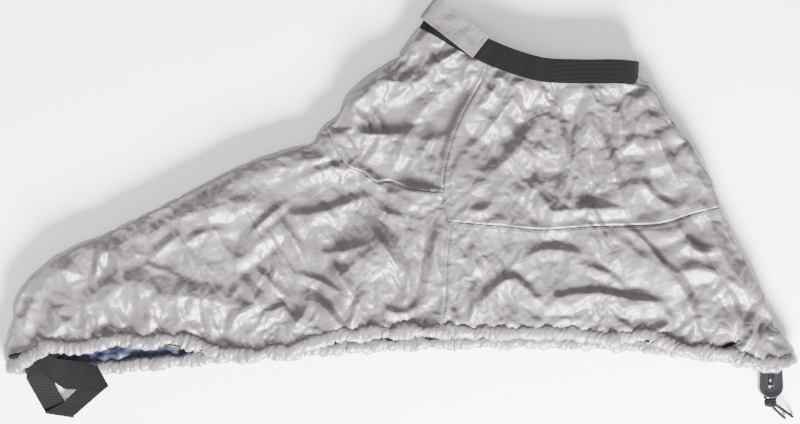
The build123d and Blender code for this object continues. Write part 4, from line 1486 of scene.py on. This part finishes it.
@dataclass
class AdjusterTab:
    """The cloth tab that folds back over the waistband, with its hook and loop tapes."""

    finishes: Finishes
    fold: tuple[float, float, float] = (0.0396, 0.2494, 0.0)
    angle: float = -38.0
    width: float = 0.033
    thick: float = 0.0016
    profile: list = field(default_factory=lambda: [
        (16, 41.6), (8, 41.4), (2, 41.6), (-2.5, 42.4), (-4.2, 44.0), (-4.4, 45.4), (-3.0, 46.8), (0, 47.4),
        (10, 47.5), (30, 47.3), (55, 47.5), (78, 47.2)])

    def build(self) -> None:
        """Make the tab, its stitched hem and both tapes."""
        profile = flowing(metres(self.profile), 0.0022)
        across = np.linspace(-0.5, 0.5, 17) * self.width
        grid = self.place(profile[:, None, 0] + 0 * across[None], across[None] + 0 * profile[:, :1],
                          profile[:, None, 1] + 0 * across[None])
        upper = smooth_steps(grid[..., 2], 0.0455, 0.047)
        crease = Ripple(81, 0.022, 6, 0.5).over(grid.reshape(-1, 3)).reshape(grid.shape[:2])
        grid[..., 2] += upper * 0.00035 * crease
        hemmed = np.abs(across)[None] > self.width / 2 - 0.004
        grid[..., 2] += upper * hemmed * 0.0003
        tab = slab("adjuster_tab_cloth", grid, self.thick)
        dress(tab, self.finishes.cloth)
        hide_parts("adjuster_tab", "tab_root")
        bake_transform(tab)
        report(tab)
        self.tape("hook_tape_pile", "hook_tape", "adjuster_tab", 0.0459)
        self.tape("loop_tape_pile", "loop_tape", "skirt", 0.0444)
        self.stitches()

    def place(self, along: Array, across: Array, height: Array) -> Array:
        """Turn distances along and across the tab into places in space."""
        turn = math.radians(self.angle)
        x = self.fold[0] + along * math.cos(turn) - across * math.sin(turn)
        y = self.fold[1] + along * math.sin(turn) + across * math.cos(turn)
        return np.stack([x, y, height + 0 * x], axis=-1)

    def tape(self, name: str, node: str, body: str, height: float) -> None:
        """Make one layer of hook or loop tape."""
        along, across = np.meshgrid(np.linspace(0.016, 0.074, 30), np.linspace(-0.0125, 0.0125, 11), indexing="ij")
        grid = self.place(along, across, np.full(along.shape, height))
        obj = slab(name, grid, 0.0010)
        dress(obj, self.finishes.fastening)
        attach(obj, body)
        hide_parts(node)
        report(obj)

    def stitches(self) -> None:
        """Make the row of stitches round the tab, as short raised threads."""
        inset, end = 0.0032, 0.078
        half = self.width / 2 - inset
        route = np.array([(0.004, -half), (end - inset, -half), (end - inset, half), (0.004, half), (0.004, -half)])
        runs = resampled(route, 0.0019)
        points: list = []
        faces: list = []
        for a, b in zip(runs[::2], runs[1::2]):
            way = unit(b - a)
            side = np.array([-way[1], way[0]]) * 0.00032
            low, high = 0.04818, 0.04862
            corners = [a - side, a + side, b + side, b - side]
            base = len(points)
            for height in (low, high):
                points += [self.place(np.array(c[0]), np.array(c[1]), np.array(height)) for c in corners]
            faces += [tuple(base + k for k in ring) for ring in
                      ((0, 3, 2, 1), (4, 5, 6, 7), (0, 1, 5, 4), (1, 2, 6, 5), (2, 3, 7, 6), (3, 0, 4, 7))]
        obj = mesh_object("adjuster_tab_stitches", np.array(points), faces)
        dress(obj, self.finishes.thread)
        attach(obj, "adjuster_tab")
        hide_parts("adjuster_tab")
        report(obj)


# ============================================================ grab loop
@dataclass
class GrabLoop:
    """A webbing loop folded twice, whose ends are sewn inside the hem at the bow."""

    finishes: Finishes
    thick: float = 0.0020
    turn: float = 0.0014

    def build(self) -> None:
        """Make the loop, its anchored ends and the bar tacks."""
        rungs = [
            ((-463, -178), (-438, -176), 21.0), ((-464, -189), (-438, -190), 21.5), ((-468, -211), (-436, -208), 17.0),
            ((-458, -232), (-427, -232), 9.0), ((-446.6, -254.4), (-410.4, -260), 2.6)]
        rungs += self.folded(rungs[-1], (-0.15, -0.99))
        rungs += [((-424, -243), (-392, -244), 7.5), ((-402, -222), (-377, -231), 10.5),
                  ((-381.6, -196), (-366.6, -222.5), 12.5)]
        rungs += self.folded(rungs[-1], (0.87, 0.49))
        rungs += [((-396, -191), (-392, -225), 16.2), ((-414, -188), (-420, -224.5), 18.5),
                  ((-428, -186), (-440, -210), 22.0), ((-438, -178), (-456, -192), 23.6),
                  ((-436, -172), (-460, -181), 22.5)]
        grid = self.strip(rungs)
        loop = slab("grab_loop_webbing", grid, self.thick)
        dress(loop, self.finishes.webbing)
        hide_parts("grab_loop")
        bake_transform(loop)
        report(loop)
        self.anchor()
        self.bartacks()

    def folded(self, crease: tuple, out: tuple[float, float]) -> list:
        """Turn the strap over a crease with a small round edge."""
        (lx, ly), (rx, ry), z = crease
        rungs = []
        for degrees in (30, 60, 90, 120, 150, 180):
            turn = math.radians(degrees)
            reach, rise = self.turn * 1000 * math.sin(turn), self.turn * 1000 * (1 - math.cos(turn))
            rungs.append(((lx + out[0] * reach, ly + out[1] * reach), (rx + out[0] * reach, ry + out[1] * reach),
                          z + rise))
        return rungs

    @staticmethod
    def strip(rungs: list) -> Array:
        """Fill between the rungs of a strap with an even grid."""
        left = metres([(*a, z) for a, _, z in rungs])
        right = metres([(*b, z) for _, b, z in rungs])
        middle = run_lengths((left + right) / 2)
        steps = [np.linspace(a, b, max(2, round((b - a) / 0.003) + 1))[:-1] for a, b in zip(middle, middle[1:])]
        at = np.concatenate([*steps, middle[-1:]])
        edge = [np.stack([np.interp(at, middle, side[:, k]) for k in range(3)], axis=1) for side in (left, right)]
        share = np.linspace(0, 1, 13)[None, :, None]
        return edge[0][:, None] * (1 - share) + edge[1][:, None] * share

    def anchor(self) -> None:
        """Make the two sewn ends, one over the other, running up inside the far layer."""
        ends = [
            [((-462, -186), (-437, -186), 20.6), ((-460, -168), (-436, -168), 16.0), ((-456, -150), (-432, -150), 11.0),
             ((-454, -142), (-430, -142), 9.8)],
            [((-452, -187), (-427, -184), 23.0), ((-446, -168), (-421, -166), 18.6), ((-440, -150), (-415, -149), 13.4),
             ((-438, -143), (-413, -142), 12.2)],
        ]
        for number, rungs in enumerate(ends):
            obj = slab(f"grab_loop_end_{number + 1}", self.strip(rungs), self.thick)
            dress(obj, self.finishes.webbing)
            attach(obj, "skirt")
            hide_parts("grab_loop_anchor")
            report(obj)

    def bartacks(self) -> None:
        """Make the three rows of zigzag stitches across the sewn ends."""
        for row in range(3):
            y = -182.0 + 4.0 * row
            places = [(x, y + (0.9 if k % 2 else -0.9), 24.6 - 1.05 * row)
                      for k, x in enumerate(np.arange(-450, -429, 0.9))]
            line = resampled(metres(places), 0.0006)
            obj = swept(f"grab_loop_bartack_{row + 1}", line, np.array([0.0, 0.0, 1.0]), round_section(0.00035, 6))
            dress(obj, self.finishes.black_thread)
            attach(obj, "skirt")
            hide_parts("grab_loop_bartacks")
            report(obj)


def dress_frame(finishes: Finishes) -> None:
    """Give the hard pieces that come straight from the frame their finishes."""
    wanted = {
        "cord_lock_barrel": finishes.plastic, "cord_lock_button": finishes.plastic,
        "cord_lock_spring": finishes.steel, "cord_exit_grommets": finishes.nickel,
        "shock_cord": finishes.black_thread,
    }
    for name, material in wanted.items():
        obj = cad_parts[name]
        dress(obj, material)
        smooth(obj, 35)
        LOG.info("%s: dressed", name)
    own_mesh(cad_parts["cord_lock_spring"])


def main() -> None:
    """Build every sub-assembly in order."""
    logging.basicConfig(level=logging.INFO, format="%(message)s")
    finishes = Finishes()
    studio = Studio()
    studio.camera()
    CordEnds(finishes).build()
    plan = SkirtPlan()
    shell = SkirtCloth(plan, finishes).build()
    Seams(plan, finishes, Ground(shell)).build()
    bpy.data.objects.remove(shell)
    HemCasing(plan, finishes).build()
    Waistband(finishes).build()
    AdjusterTab(finishes).build()
    GrabLoop(finishes).build()
    dress_frame(finishes)
    studio.light()
    studio.floor()


if __name__ == "__main__":
    main()
